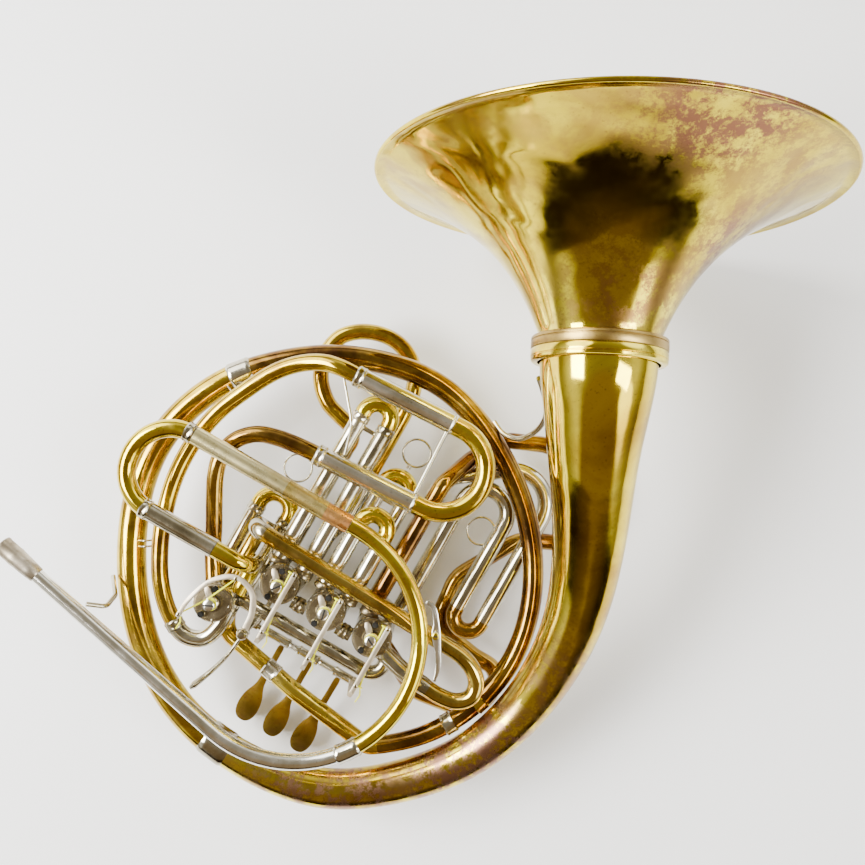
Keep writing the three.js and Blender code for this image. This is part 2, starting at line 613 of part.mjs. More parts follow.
function buildThirdSlides() {
  const z = LOWER_TIER;
  const { outer, inner, leg, bow } = SLEEVE;
  const wall = outer - inner;
  const going = [
    [THIRD.right, VALVE_Y + 6, z, 0, outer], [THIRD.right, -16, z, 19], [THIRD.inside, -16, z, 19],
    [THIRD.inside, THIRD.low, z, 0],
  ];
  place("third_bb_outward", cut(tube(rounded(going), 8, wall), valveSpace[2]), NICKEL);
  const coming = [
    [THIRD.outside, THIRD.low, z, 0, outer], [THIRD.outside, 16, z, 26], [72, 8, z, 22],
    [THIRD.left, -26, z, 24], [THIRD.left, VALVE_Y + 6, z, 0],
  ];
  place("third_bb_homeward", cut(tube(rounded(coming), 8, wall), valveSpace[2]), NICKEL);

  const radius = (THIRD.outside - THIRD.inside) / 2;
  const edge = THIRD.low - GAP;
  const bottom = edge - 2 - radius;
  const crook = [
    [THIRD.inside, THIRD.low + 45, z, 0, leg], [THIRD.inside, edge, z, 0, leg],
    [THIRD.inside, edge - 0.1, z, 0, bow],
    [THIRD.inside, bottom, z, radius - 0.05], [THIRD.outside, bottom, z, radius - 0.05],
    [THIRD.outside, edge - 0.1, z, 0, bow], [THIRD.outside, edge, z, 0, leg],
    [THIRD.outside, THIRD.low + 45, z, 0, leg],
  ];
  place("third_bb_crook", tube(rounded(crook)), DARK_BRASS);

  const detour = [
    [THIRD.left, VALVE_Y + 6, UPPER_TIER, 0, 6.6], [THIRD.left, -30, UPPER_TIER, 14], [36, -4, 58, 10],
    [43, 8, 44.5, 10], [54, 24, 43.6, 16], [84, 37, 42, 24], [108, 36, 39, 24], [140, 12, 34, 24],
    [138, -24, 28, 18], [104, -40, 25, 30], [75, -92, 25, 26],
    [80, -134, 25, 20], [120, -140, 25, 20], [146, -140, 25, 14], [146, -180, 28, 24],
    [90, -186, 36, 24], [VALVE_X[2] + 4, VALVE_Y - 6, LOWER_TIER, 0],
  ];
  place("third_f_loop", cut(tube(rounded(detour)), valveSpace[2]), DARK_BRASS);
}

// Levers
const LEVERS = [
  { bar: -34.8, pad: -19, barrel: [-38, -14] },
  { bar: 3.7, pad: 7, barrel: [-6, 13] },
  { bar: 43.2, pad: 33, barrel: [27, 46] },
];

function buildLever(index) {
  const { bar, pad, barrel } = LEVERS[index];
  const tubeRadius = 4.2;
  const hinge = cut(
    rod(straight([barrel[0], HINGE_Y, HINGE_Z], [barrel[1], HINGE_Y, HINGE_Z], tubeRadius), 12),
    rod(straight([barrel[0] - 1, HINGE_Y, HINGE_Z], [barrel[1] + 1, HINGE_Y, HINGE_Z], 2.3), 12),
  );
  const upright = new THREE.Shape([
    [HINGE_Y - 1.5, HINGE_Z + 3.4], [HINGE_Y + 1.5, HINGE_Z + 3.4], [-194.5, BAR_Z - 6], [-190, BAR_Z],
    [-137, BAR_Z], [-137, BAR_Z + 2.4], [-192, BAR_Z + 2.4], [-197, BAR_Z - 3],
  ].map(([y, z]) => new THREE.Vector2(y, z)));
  const arm = new THREE.ExtrudeGeometry(upright, { depth: BAR_WIDTH, bevelEnabled: false });
  arm.applyMatrix4(new THREE.Matrix4().makeBasis(point(0, 1, 0), point(0, 0, 1), point(1, 0, 0)));
  arm.translate(bar - BAR_WIDTH / 2, 0, 0);

  const outline = [
    [-2.6, 0], [2.6, 0], [3, -42], [7.6, -53], [9, -64], [7.8, -74], [3.6, -80.5],
    [-3.6, -80.5], [-7.8, -74], [-9, -64], [-7.6, -53], [-3, -42],
  ].map(([x, y]) => new THREE.Vector2(x, y));
  const blade = new THREE.ExtrudeGeometry(new THREE.Shape(outline), { depth: 1.8, bevelEnabled: false });
  blade.rotateX(radians(16));
  blade.translate(pad, HINGE_Y - 2.6, HINGE_Z - 1.4);
  const bore = rod(straight([barrel[0] - 1, HINGE_Y, HINGE_Z], [barrel[1] + 1, HINGE_Y, HINGE_Z], 2.3), 12);
  place(`lever_${index + 1}`, cut(joined(hinge, arm, blade), bore), BRASS);
}

function buildLeverHinge() {
  const shaft = rod(straight([-47, HINGE_Y, HINGE_Z], [50.5, HINGE_Y, HINGE_Z], 2), 12);
  const reach = (x) => block(x, (HINGE_Y - 2 + VALVE_Y) / 2, HINGE_Z - 3, 4, VALVE_Y - HINGE_Y + 2, 4);
  const frame = joined(shaft, reach(-45), reach(48.5));
  place("lever_hinge_rod", cut(frame, valveSpace[0], valveSpace[2]), NICKEL);
}

const THUMB_PIVOT = [-46, -194.2];

function buildThumbLever() {
  const [x, y] = THUMB_PIVOT;
  const z = BAR_Z;
  place("thumb_hinge_post", turned([
    [0, 50], [3, 50], [3, 58], [2.2, 59], [2.2, 100.3], [4.2, 100.8], [4.2, z - 1], [2, z - 1],
    [2, z + 6], [3.2, z + 6.3], [3.2, z + 8], [0, z + 8],
  ], x, y, 12), NICKEL);

  // Seen from above: an arc over the change valve on one side of the pivot, the touch on the other.
  const arc = new THREE.CatmullRomCurve3([
    point(0, 3, 0), point(-2, 17, 0), point(-9, 29, 0), point(-23, 33, 0), point(-37, 24, 0),
    point(-46, 3, 0), point(-47, -13, 0),
  ]);
  const inside = [];
  const outside = [];
  const steps = 12;
  for (let step = 0; step <= steps; step++) {
    const p = arc.getPoint(step / steps);
    const heading = arc.getTangent(step / steps);
    inside.push(new THREE.Vector2(p.x - 2.3 * heading.y, p.y + 2.3 * heading.x));
    outside.push(new THREE.Vector2(p.x + 2.3 * heading.y, p.y - 2.3 * heading.x));
  }
  const extrude = { depth: 2.4, bevelEnabled: false };
  const arm = new THREE.ExtrudeGeometry(new THREE.Shape([...outside, ...inside.reverse()]), extrude);
  arm.translate(x, y, z);
  const touch = rod([
    { p: point(x, y - 3, z + 1.2), r: 1.2 }, { p: point(x - 2, y - 20, z - 2), r: 1.8 },
    { p: point(x - 7, y - 38, z - 8), r: 2.6 }, { p: point(x - 13, y - 54, z - 12), r: 3.2 },
    { p: point(x - 14.5, y - 58, z - 12.6), r: 1.6 },
  ], 8);
  const eye = drum(x, y, z, z + 5.4, 4.6, 16);
  const bore = drum(x, y, z - 2, z + 8, 2.3, 16);
  place("thumb_lever", cut(joined(eye, arm, touch), bore), NICKEL);
}

// Linkage strings: from the far end of the lever, more than once round the hub, to its near end.
// The sense is 1 where the string goes round anticlockwise, seen from above.
function stringAround(name, x, y, start, finish, sense) {
  const wrap = HUB_RADIUS + GAP + STRING_RADIUS;
  const bearing = ([px, py]) => Math.atan2(py - y, px - x);
  const swing = ([px, py]) => Math.acos(wrap / Math.hypot(px - x, py - y));
  const first = bearing(start) + sense * swing(start);
  let last = bearing(finish) - sense * swing(finish);
  while (sense * (last - first) < radians(270)) last += 2 * Math.PI * sense;
  const route = [point(...start)];
  const turns = 14;
  for (let step = 0; step <= turns; step++) {
    const angle = THREE.MathUtils.lerp(first, last, step / turns);
    const height = THREE.MathUtils.lerp(101.4, 98.4, step / turns);
    route.push(point(x + wrap * Math.cos(angle), y + wrap * Math.sin(angle), height));
  }
  route.push(point(...finish));
  place(name, rod(route.map((p) => ({ p, r: STRING_RADIUS })), 5), STRING);
}

function buildStrings() {
  VALVE_X.forEach((x, i) => {
    const { bar } = LEVERS[i];
    stringAround(`string_${i + 1}`, x, VALVE_Y, [bar, -139, 103.6], [bar, -186, 103.4], -1);
  });
  const [far, near] = [[-70, -162.2, 103.6], [-93.2, -205, 103.4]];
  stringAround("string_4", ...CHANGE_VALVE, far, near, 1);
}

// Water key on the outside of the leadpipe's curve
const CURVE_MIDDLE = [-12, -176];
const KEY_RADIUS = 100.5;

function onCurve(angle, radius) {
  const [x, y] = CURVE_MIDDLE;
  return [x + radius * Math.cos(radians(angle)), y + radius * Math.sin(radians(angle))];
}

function buildWaterKey() {
  const z = LEADPIPE_Z;
  const pivot = onCurve(31, KEY_RADIUS);
  const foot = block(...onCurve(31, 99.3), z - 3.6, 8, 5, 4, 31);
  const pin = drum(pivot[0], pivot[1], z - 4, z + 5, 1.5, 12);
  place("water_key_saddle", joined(foot, pin), BRASS);

  const route = [[45.5, 98], [42, 101.4], [36, 101.6], [31, 101], [25, 102.4], [18, 104.5], [12.5, 104.5]];
  const widths = [1.6, 1.8, 2.2, 3.4, 2.4, 2, 1.2];
  const outer = route.map(([angle, radius], i) => onCurve(angle, radius + widths[i]));
  const inner = route.map(([angle, radius], i) => onCurve(angle, radius - widths[i])).reverse();
  const shape = new THREE.Shape([...outer, ...inner].map(([x, y]) => new THREE.Vector2(x, y)).reverse());
  const bar = new THREE.ExtrudeGeometry(shape, { depth: 3.2, bevelEnabled: false });
  bar.translate(0, 0, z - 1);
  place("water_key_lever", cut(bar, drum(pivot[0], pivot[1], z - 3, z + 5, 1.8, 12)), NICKEL);
}

// Wire braces
function buildBraces() {
  const bell = [
    [13, 44, 62, 0, 2], [28, 38, 67, 12], [58, 28, 76, 12], [70, 46, 100, 12], [44, 68, 146, 0],
  ];
  place("bell_brace", rod(rounded(bell)), NICKEL);
  const lead = [
    [-154, -231.2, 109, 0, 1.8], [-142, -228, 102, 6], [-144, -223, 85, 8], [-156.5, -217.5, 67, 0],
  ];
  place("leadpipe_brace", rod(rounded(lead)), NICKEL);
}

buildBell();
buildBranches();
buildLeadpipe();
buildMainSlide();
buildFSlide();
buildLinks();
VALVE_X.forEach((x, i) => buildValve(i + 1, x, VALVE_Y));
buildValve(4, ...CHANGE_VALVE);
buildShortSlides();
buildFirstFSlide();
buildThirdSlides();
LEVERS.forEach((_, i) => buildLever(i));
buildLeverHinge();
buildThumbLever();
buildStrings();
buildWaterKey();
buildBraces();

const box = new THREE.Box3().setFromObject(horn, true);
horn.position.set(-(box.min.x + box.max.x) / 2, -(box.min.y + box.max.y) / 2, -box.min.z);

export default horn;
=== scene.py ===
"""The looks of the horn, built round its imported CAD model. Lengths are in millimetres until at() turns them."""
from math import acos, atan2, ceil, cos, degrees, exp, hypot, pi, radians, sin, tan

import bmesh
import bpy
from mathutils import Matrix, Quaternion, Vector


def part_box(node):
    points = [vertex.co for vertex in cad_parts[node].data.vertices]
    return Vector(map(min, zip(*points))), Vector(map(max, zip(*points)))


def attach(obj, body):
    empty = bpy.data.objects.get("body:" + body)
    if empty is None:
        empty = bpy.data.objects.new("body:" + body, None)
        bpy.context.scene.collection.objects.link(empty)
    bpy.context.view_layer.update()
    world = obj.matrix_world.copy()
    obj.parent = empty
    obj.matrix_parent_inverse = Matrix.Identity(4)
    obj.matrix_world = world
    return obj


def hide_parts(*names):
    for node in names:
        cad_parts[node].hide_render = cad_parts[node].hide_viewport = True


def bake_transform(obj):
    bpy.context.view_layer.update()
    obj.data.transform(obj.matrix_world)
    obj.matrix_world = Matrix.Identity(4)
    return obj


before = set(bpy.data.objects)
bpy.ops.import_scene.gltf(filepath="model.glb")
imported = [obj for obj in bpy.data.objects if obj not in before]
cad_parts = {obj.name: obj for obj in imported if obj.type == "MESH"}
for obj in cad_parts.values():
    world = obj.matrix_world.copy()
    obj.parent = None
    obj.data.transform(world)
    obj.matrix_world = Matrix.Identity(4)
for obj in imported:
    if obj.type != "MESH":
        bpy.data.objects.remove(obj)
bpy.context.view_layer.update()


def vec(x, y, z=0):
    return Vector((x, y, z))


MM = 0.001
X, Y, Z = vec(1, 0, 0), vec(0, 1, 0), vec(0, 0, 1)
BODY = "horn_body"

# The same driving dimensions as the CAD model
RIM_RADIUS = 155
BELL_YAW, BELL_PITCH = radians(26.8), radians(3.84)
FLARE_DEPTH, FLARE_SCALE, THROAT_DEPTH = 113.4, 111.8, 104
RING_RADIUS, RING_WIDTH = 45, 8.2
VALVES = {1: (-42, -154), 2: (-2.5, -154), 3: (37, -154), 4: (-78, -190)}
CASING_FOOT = 14
LEG_OFFSET = 10.75
CHANGE_LEGS = (-91.2, -65.4)
UPPER, LOWER = 76, 42
LEADPIPE_Z, F_Z, CROSS_Z = 112, 95, 90
HUB_NECK, BAR_Z = 3.6, 104.8
HINGE_Y, HINGE_Z = -205, 32
SLEEVE, LEG, BOW = 6.6, 5.7, 6.4
F_TUBE = 6.4

# Walls of the visible skins, and the radius that turned pieces close on
BELL_WALL, TUBE_WALL, SLEEVE_WALL = 0.8, 0.7, 0.6
TIP = 0.01
SHARP_ANGLE = radians(40)

# The CAD model's own origin in the frame, found from the casing of the first valve
casing_low, casing_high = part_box("casing_1")
SHIFT = vec(
    (casing_low.x + casing_high.x) / 2 - VALVES[1][0] * MM,
    (casing_low.y + casing_high.y) / 2 - VALVES[1][1] * MM,
    casing_low.z - CASING_FOOT * MM,
)


def at(x, y, z):
    """A place in the frame, from millimetres in the CAD model."""
    return vec(x, y, z) * MM + SHIFT


def linked(name, data):
    made = bpy.data.objects.new(name, data)
    bpy.context.scene.collection.objects.link(made)
    return made


# -------- materials

def new_material(name):
    """A material, its node tree, its shader and the coordinates of the object that wears it."""
    material = bpy.data.materials.new(name)
    material.use_nodes = True
    tree = material.node_tree
    coords = node(tree, "ShaderNodeTexCoord").outputs["Object"]
    return material, tree, tree.nodes["Principled BSDF"], coords


def node(tree, kind, *inputs, **values):
    """A node. Its inputs, in order or by name, take a value or a socket to link, and the rest are settings."""
    made = tree.nodes.new(kind)
    for key, value in (*enumerate(inputs), *values.items()):
        if isinstance(key, str) and key not in made.inputs:
            setattr(made, key, value)
        elif isinstance(value, bpy.types.NodeSocket):
            tree.links.new(value, made.inputs[key])
        else:
            made.inputs[key].default_value = value
    return made


def ramp(tree, source, stops):
    made = node(tree, "ShaderNodeValToRGB", source)
    elements = made.color_ramp.elements
    while len(elements) < len(stops):
        elements.new(0.5)
    for element, (position, colour) in zip(elements, stops):
        element.position = position
        element.color = (*colour, 1)
    return made.outputs["Color"]


def noise(tree, coords, scale, detail=4, roughness=0.55, distortion=0.0):
    look = {"Scale": scale, "Detail": detail, "Roughness": roughness, "Distortion": distortion}
    return node(tree, "ShaderNodeTexNoise", coords, **look).outputs["Fac"]


def mixed(tree, fac, a, b):
    """A mix of two colours. Inputs 6 and 7 and output 2 are the colour sockets of a mix node."""
    made = node(tree, "ShaderNodeMix", fac, data_type="RGBA")
    for socket, value in ((made.inputs[6], a), (made.inputs[7], b)):
        if isinstance(value, tuple):
            socket.default_value = (*value, 1)
        else:
            tree.links.new(value, socket)
    return made.outputs[2]


def spread(tree, value, low, high, to_low=0.0, to_high=1.0):
    return node(tree, "ShaderNodeMapRange", value, low, high, to_low, to_high).outputs["Result"]


def product(tree, a, b):
    return node(tree, "ShaderNodeMath", a, b, operation="MULTIPLY", use_clamp=True).outputs[0]


def near(tree, coords, centre, inner, outer):
    """1 within inner millimetres of a point, fading to 0 at outer."""
    away = node(tree, "ShaderNodeVectorMath", coords, at(*centre), operation="DISTANCE")
    return spread(tree, away.outputs["Value"], inner * MM, outer * MM, 1, 0)


def worn_metal(name, spots, shine, tarnish, tones, blotch=18, worn_spots=(), pitting=0.04, dents=0.0):
    """Old polished metal. The tones drift over its surface, tarnish breaks through in blotches and specks.

    shine is its lowest and highest roughness, and dents the depth of the shallow hollows in metres. A worn spot is a
    centre, the radius that is all tarnished, the radius where the tarnish ends, and its strength.
    """
    material, tree, shader, coords = new_material(name)
    shader.inputs["Metallic"].default_value = 1
    drift = noise(tree, coords, blotch, detail=5, roughness=0.6, distortion=0.6)
    first, span = 0.3, 0.4
    colour = ramp(tree, drift, [(first + span * i / (len(tones) - 1), tone) for i, tone in enumerate(tones)])

    blotches = spread(tree, noise(tree, coords, blotch * 3.2, detail=8, roughness=0.68, distortion=0.4), 0.5, 0.62)
    mask = product(tree, blotches, spots)
    for centre, inner, outer, strength in worn_spots:
        zone = near(tree, coords, centre, inner, outer)
        ragged = spread(tree, noise(tree, coords, blotch * 6, detail=12, roughness=0.8), 0.44, 0.53)
        extra = product(tree, product(tree, zone, ragged), strength)
        mask = node(tree, "ShaderNodeMath", mask, extra, operation="MAXIMUM").outputs[0]
    colour = mixed(tree, mask, colour, tarnish)
    specks = spread(tree, noise(tree, coords, 520, detail=3), 0.63, 0.7, 0, 0.45)
    speck_shade = 0.55
    colour = mixed(tree, specks, colour, tuple(speck_shade * c for c in tarnish))
    tree.links.new(colour, shader.inputs["Base Color"])

    haze = noise(tree, coords, 60, detail=9, roughness=0.7)
    rough = spread(tree, haze, 0.3, 0.75, *shine)
    tarnish_roughness = 0.22
    dull = node(tree, "ShaderNodeMath", mask, tarnish_roughness, rough, operation="MULTIPLY_ADD", use_clamp=True)
    tree.links.new(dull.outputs[0], shader.inputs["Roughness"])

    grain = noise(tree, coords, 420, detail=6, roughness=0.7)
    bump = node(tree, "ShaderNodeBump", Strength=pitting, Distance=0.0004, Height=grain)
    hollows = noise(tree, coords, 24, detail=1, roughness=0.3, distortion=0.8)
    dented = node(tree, "ShaderNodeBump", Strength=1.0, Distance=dents, Height=hollows)
    tree.links.new(dented.outputs["Normal"], bump.inputs["Normal"])
    tree.links.new(bump.outputs["Normal"], shader.inputs["Normal"])
    return material


def plain_stuff(name, dark, light, roughness, weave=False):
    """Cord or cork: a matt material with a fine mottle, or with the diagonal ridges of a twisted string."""
    material, tree, shader, coords = new_material(name)
    shader.inputs["Specular IOR Level"].default_value = 0.15
    mottle = noise(tree, coords, 300, detail=5, roughness=0.65)
    tree.links.new(ramp(tree, mottle, [(0.3, dark), (0.7, light)]), shader.inputs["Base Color"])
    tree.links.new(spread(tree, mottle, 0.2, 0.8, roughness - 0.1, roughness + 0.1), shader.inputs["Roughness"])
    bump = node(tree, "ShaderNodeBump", Strength=0.4, Distance=0.0003, Height=mottle)
    if weave:
        wave = node(tree, "ShaderNodeTexWave", coords, Scale=900, bands_direction="DIAGONAL")
        tree.links.new(wave.outputs["Fac"], bump.inputs["Height"])
    tree.links.new(bump.outputs["Normal"], shader.inputs["Normal"])
    return material


YELLOW = [(0.42, 0.25, 0.012), (0.66, 0.47, 0.022), (0.85, 0.68, 0.045), (0.94, 0.80, 0.12)]
AMBER = [(0.20, 0.10, 0.012), (0.45, 0.28, 0.02), (0.70, 0.49, 0.04), (0.88, 0.69, 0.11)]
BROWN = [(0.07, 0.03, 0.012), (0.19, 0.095, 0.022), (0.40, 0.24, 0.04), (0.68, 0.47, 0.09)]
OLIVE = [(0.24, 0.15, 0.03), (0.46, 0.32, 0.06), (0.66, 0.49, 0.10), (0.80, 0.63, 0.18)]
NICKEL = [(0.24, 0.20, 0.12), (0.42, 0.38, 0.27), (0.62, 0.58, 0.46), (0.80, 0.77, 0.66)]
SILVER = [(0.56, 0.52, 0.40), (0.74, 0.71, 0.61), (0.87, 0.85, 0.77), (0.95, 0.94, 0.89)]

# Each metal's slot, how much its tarnish covers, its lowest and highest roughness, its tarnish, and its tones
METALS = {
    "tail_brass": ("bright_brass", 0.12, (0.05, 0.13), (0.30, 0.15, 0.11), *YELLOW),
    "flare_brass": (
        "flare_brass", 0.4, (0.04, 0.12), (0.26, 0.11, 0.055),
        (0.26, 0.15, 0.01), (0.50, 0.36, 0.014), (0.75, 0.59, 0.028), (0.91, 0.77, 0.075),
    ),
    "yellow_brass": ("bright_brass", 0.3, (0.06, 0.17), (0.34, 0.19, 0.09), *YELLOW),
    "amber_brass": ("amber_brass", 0.35, (0.06, 0.17), (0.20, 0.09, 0.05), *AMBER),
    "olive_brass": ("bright_brass", 0.4, (0.06, 0.17), (0.24, 0.12, 0.05), *OLIVE),
    "brown_brass": ("amber_brass", 0.35, (0.06, 0.17), (0.13, 0.05, 0.035), *BROWN),
    "nickel": ("nickel_silver", 0.25, (0.09, 0.2), (0.30, 0.24, 0.15), *NICKEL),
    "silver": ("bright_nickel", 0.2, (0.12, 0.24), (0.44, 0.38, 0.30), *SILVER),
    "grey_nickel": (
        "nickel_silver", 0.6, (0.28, 0.48), (0.16, 0.12, 0.08),
        (0.30, 0.24, 0.16), (0.44, 0.38, 0.28), (0.58, 0.52, 0.42),
    ),
    "brown_nickel": (
        "nickel_silver", 0.35, (0.2, 0.36), (0.09, 0.055, 0.03),
        (0.19, 0.15, 0.085), (0.32, 0.265, 0.165), (0.48, 0.42, 0.28),
    ),
    "lever_nickel": (
        "nickel_silver", 0.3, (0.34, 0.5), (0.28, 0.18, 0.10),
        (0.46, 0.38, 0.26), (0.60, 0.52, 0.39), (0.72, 0.65, 0.52),
    ),
    "cream_metal": (
        "nickel_silver", 0.15, (0.24, 0.34), (0.50, 0.36, 0.16),
        (0.60, 0.50, 0.22), (0.76, 0.67, 0.34), (0.86, 0.78, 0.47),
    ),
    "matt_brass": (
        "bright_brass", 0.5, (0.22, 0.32), (0.40, 0.24, 0.09),
        (0.52, 0.38, 0.10), (0.68, 0.52, 0.15), (0.80, 0.66, 0.25),
    ),
    "copper_patch": (
        "bright_brass", 0.5, (0.2, 0.34), (0.45, 0.2, 0.1),
        (0.72, 0.26, 0.05), (0.88, 0.40, 0.10), (0.94, 0.54, 0.20),
    ),
    "bronze": (
        "amber_brass", 0.5, (0.26, 0.4), (0.12, 0.06, 0.03),
        (0.20, 0.12, 0.035), (0.36, 0.24, 0.06), (0.50, 0.35, 0.11),
    ),
    "pad_brass": (
        "bright_brass", 0.35, (0.3, 0.42), (0.24, 0.11, 0.03),
        (0.17, 0.10, 0.012), (0.26, 0.165, 0.022), (0.36, 0.235, 0.035),
    ),
}
# What else three of the metals are told
WORN = {
    "tail_brass": {"blotch": 12, "dents": 0.0005, "worn_spots": [
        ((160, -205, 60), 45, 110, 0.95), ((70, -290, 60), 45, 105, 0.9), ((185, -110, 90), 25, 75, 0.7),
    ]},
    "flare_brass": {"blotch": 9, "dents": 0.0016, "worn_spots": [
        ((48, 232, 285), 32, 88, 1.0), ((125, 220, 250), 20, 90, 0.7), ((90, 200, 190), 15, 75, 0.9),
        ((60, 138, 190), 20, 75, 0.85), ((-75, 165, 270), 8, 45, 0.6),
    ]},
    "pad_brass": {"blotch": 45, "pitting": 0.2},
}
MATERIALS = {
    name: worn_metal(name, spots, shine, tarnish, tones, **WORN.get(name, {}))
    for name, (_, spots, shine, tarnish, *tones) in METALS.items()
}
MATERIALS["cord"] = plain_stuff("cord", (0.80, 0.80, 0.0), (1.0, 1.0, 0.03), 0.75, weave=True)
# The near-black cork is also the painted shade in the screw slots
MATERIALS["cork"] = plain_stuff("cork", (0.006, 0.006, 0.006), (0.02, 0.018, 0.015), 0.8)
SLOTS = {name: metal[0] for name, metal in METALS.items()}
SLOTS.update(cord="yellow_string", cork="nickel_silver")


# -------- routes

def circle(count):
    """The angles of equal steps round a whole turn."""
    return [2 * pi * k / count for k in range(count)]


def spoke(angle, radius=1):
    """A vector in plan at an angle."""
    return vec(cos(angle), sin(angle), 0) * radius


def rod(start, end, radius):
    return [(Vector(start), radius), (Vector(end), radius)]


def rounded(corners, step=7.5):
    """Stations along straight runs whose corners are arcs. A corner is (x, y, z, bend radius, tube radius)."""
    points = [Vector(c[:3]) for c in corners]
    radii = []
    for corner in corners:
        radii.append(corner[4] if len(corner) > 4 else radii[-1])
    stations = [(points[0], radii[0])]
    for i in range(1, len(points) - 1):
        back = (points[i - 1] - points[i]).normalized()
        ahead = (points[i + 1] - points[i]).normalized()
        turn = pi - back.angle(ahead)
        bend = corners[i][3] if len(corners[i]) > 3 else 0
        if not bend or turn < 0.01:
            stations.append((points[i], radii[i]))
            continue
        centre = points[i] + (back + ahead).normalized() * (bend / cos(turn / 2))
        first = points[i] + back * (bend * tan(turn / 2)) - centre
        axis = ahead.cross(back).normalized()
        count = max(2, ceil(degrees(turn) / step))
        for k in range(count + 1):
            stations.append((centre + Quaternion(axis, turn * k / count) @ first, radii[i]))
    stations.append((points[-1], radii[-1]))
    return stations


def catmull(knots, t):
    """A point and a tube radius on the centripetal curve through (x, y, z, radius) knots."""
    i = min(int(t), len(knots) - 2)
    part = t - i
    p1, p2 = Vector(knots[i][:3]), Vector(knots[i + 1][:3])
    p0 = Vector(knots[i - 1][:3]) if i else 2 * p1 - p2
    p3 = Vector(knots[i + 2][:3]) if i + 2 < len(knots) else 2 * p2 - p1
    d0, d1, d2 = ((b - a).length ** 0.5 for a, b in ((p0, p1), (p1, p2), (p2, p3)))
    m1 = ((p1 - p0) / d0 - (p2 - p0) / (d0 + d1) + (p2 - p1) / d1) * d1
    m2 = ((p2 - p1) / d1 - (p3 - p1) / (d1 + d2) + (p3 - p2) / d2) * d1
    s, s2, s3 = part, part ** 2, part ** 3
    point = p1 * (2 * s3 - 3 * s2 + 1) + m1 * (s3 - 2 * s2 + s) + p2 * (3 * s2 - 2 * s3) + m2 * (s3 - s2)
    return point, knots[i][3] * (1 - part) + knots[i + 1][3] * part

PER_KNOT = 8


def flowing(knots, per_knot=PER_KNOT):
    """The whole curve through the knots, as stations."""
    return [catmull(knots, k / per_knot) for k in range((len(knots) - 1) * per_knot + 1)]


def smooth_route(points, radius):
    return flowing([(*q, radius) for q in points], 6)


def eased(stations, passes):
    """Takes the small unevenness out of a route, and leaves its ends where they are."""
    for _ in range(passes):
        middle = [
            ((a[0] + 2 * b[0] + c[0]) / 4, (a[1] + 2 * b[1] + c[1]) / 4)
            for a, b, c in zip(stations, stations[1:], stations[2:])
        ]
        stations = [stations[0], *middle, stations[-1]]
    return stations


def lengths(stations):
    total = [0.0]
    for (a, _), (b, _) in zip(stations, stations[1:]):
        total.append(total[-1] + (b - a).length)
    return total


def stretch(stations, low, high, count=8):
    """Points and radii between two distances along a route."""
    total = lengths(stations)
    made = []
    for k in range(count + 1):
        s = low + (high - low) * k / count
        i = next((n for n in range(len(total) - 2) if total[n + 1] >= s), len(total) - 2)
        part = (s - total[i]) / max(total[i + 1] - total[i], 1e-9)
        (a, ra), (b, rb) = stations[i], stations[i + 1]
        made.append((a.lerp(b, part) if 0 <= part <= 1 else a + (b - a) * part, ra + (rb - ra) * part))
    return made


def frames(points, closed=False):
    """A normal and a side at every point, carried along without twisting."""
    count = len(points)
    tangents = []
    for i in range(count):
        back = points[i - 1] if i or closed else points[0]
        ahead = points[(i + 1) % count] if i < count - 1 or closed else points[i]
        tangents.append(((points[i] - back).normalized() + (ahead - points[i]).normalized()).normalized())
    normal = Z if abs(tangents[0].z) < 0.9 else X
    made = []
    for tangent in tangents:
        normal = (normal - tangent * normal.dot(tangent)).normalized()
        made.append((normal, tangent.cross(normal)))
    return made


# -------- shapes

def to_object(name, vertices, faces, material):
    mesh = bpy.data.meshes.new(name)
    mesh.from_pydata([at(*v) for v in vertices], [], faces)
    work = bmesh.new()
    work.from_mesh(mesh)
    bmesh.ops.remove_doubles(work, verts=work.verts, dist=1e-7)
    bmesh.ops.recalc_face_normals(work, faces=work.faces)
    work.to_mesh(mesh)
    work.free()
    mesh.shade_smooth()
    mesh.set_sharp_from_angle(angle=SHARP_ANGLE)
    mesh.materials.append(MATERIALS[material])
    return linked(name, mesh)


def put(name, shape, material, *nodes, body=BODY):
    """A visible piece that rides a body, and the CAD nodes that it stands in for."""
    made = to_object(name, *shape, material)
    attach(made, body)
    if nodes:
        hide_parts(*nodes)


def skin(name, route, material, node_name=None, sides=32, wall=TUBE_WALL, body=BODY):
    """The visible tube along a route, in place of the CAD tube of that name or of another one."""
    put(f"{name}_skin", sweep(route, sides, wall), material, node_name or name, body=body)


def ferrule(name, route, low, high, height=0.7, material="nickel", body=BODY):
    put(name, band(route, low, high, height), material, body=body)


def grid(rows, sides, closed):
    """Faces from each ring of vertices to the next, and from the last to the first where they close."""
    faces = []
    for i in range(rows if closed else rows - 1):
        j = (i + 1) % rows
        for k in range(sides):
            n = (k + 1) % sides
            faces.append((i * sides + k, i * sides + n, j * sides + n, j * sides + k))
    return faces


def sweep(stations, sides=32, wall=0.0, closed=False):
    """Vertices and faces of a round tube or bar along (point, radius) stations."""
    count = len(stations)
    directions = frames([p for p, _ in stations], closed)

    def ring(i, shrink):
        point, radius = stations[i]
        normal, side = directions[i]
        return [point + (normal * cos(a) + side * sin(a)) * (radius - shrink) for a in circle(sides)]

    rings = [ring(i, 0) for i in range(count)]
    if wall:
        rings += [ring(i, wall) for i in reversed(range(count))]
    loop = closed or wall > 0
    faces = grid(len(rings), sides, loop)
    if not loop:
        faces.append(tuple(reversed(range(sides))))
        faces.append(tuple(range((len(rings) - 1) * sides, len(rings) * sides)))
    return [v for r in rings for v in r], faces


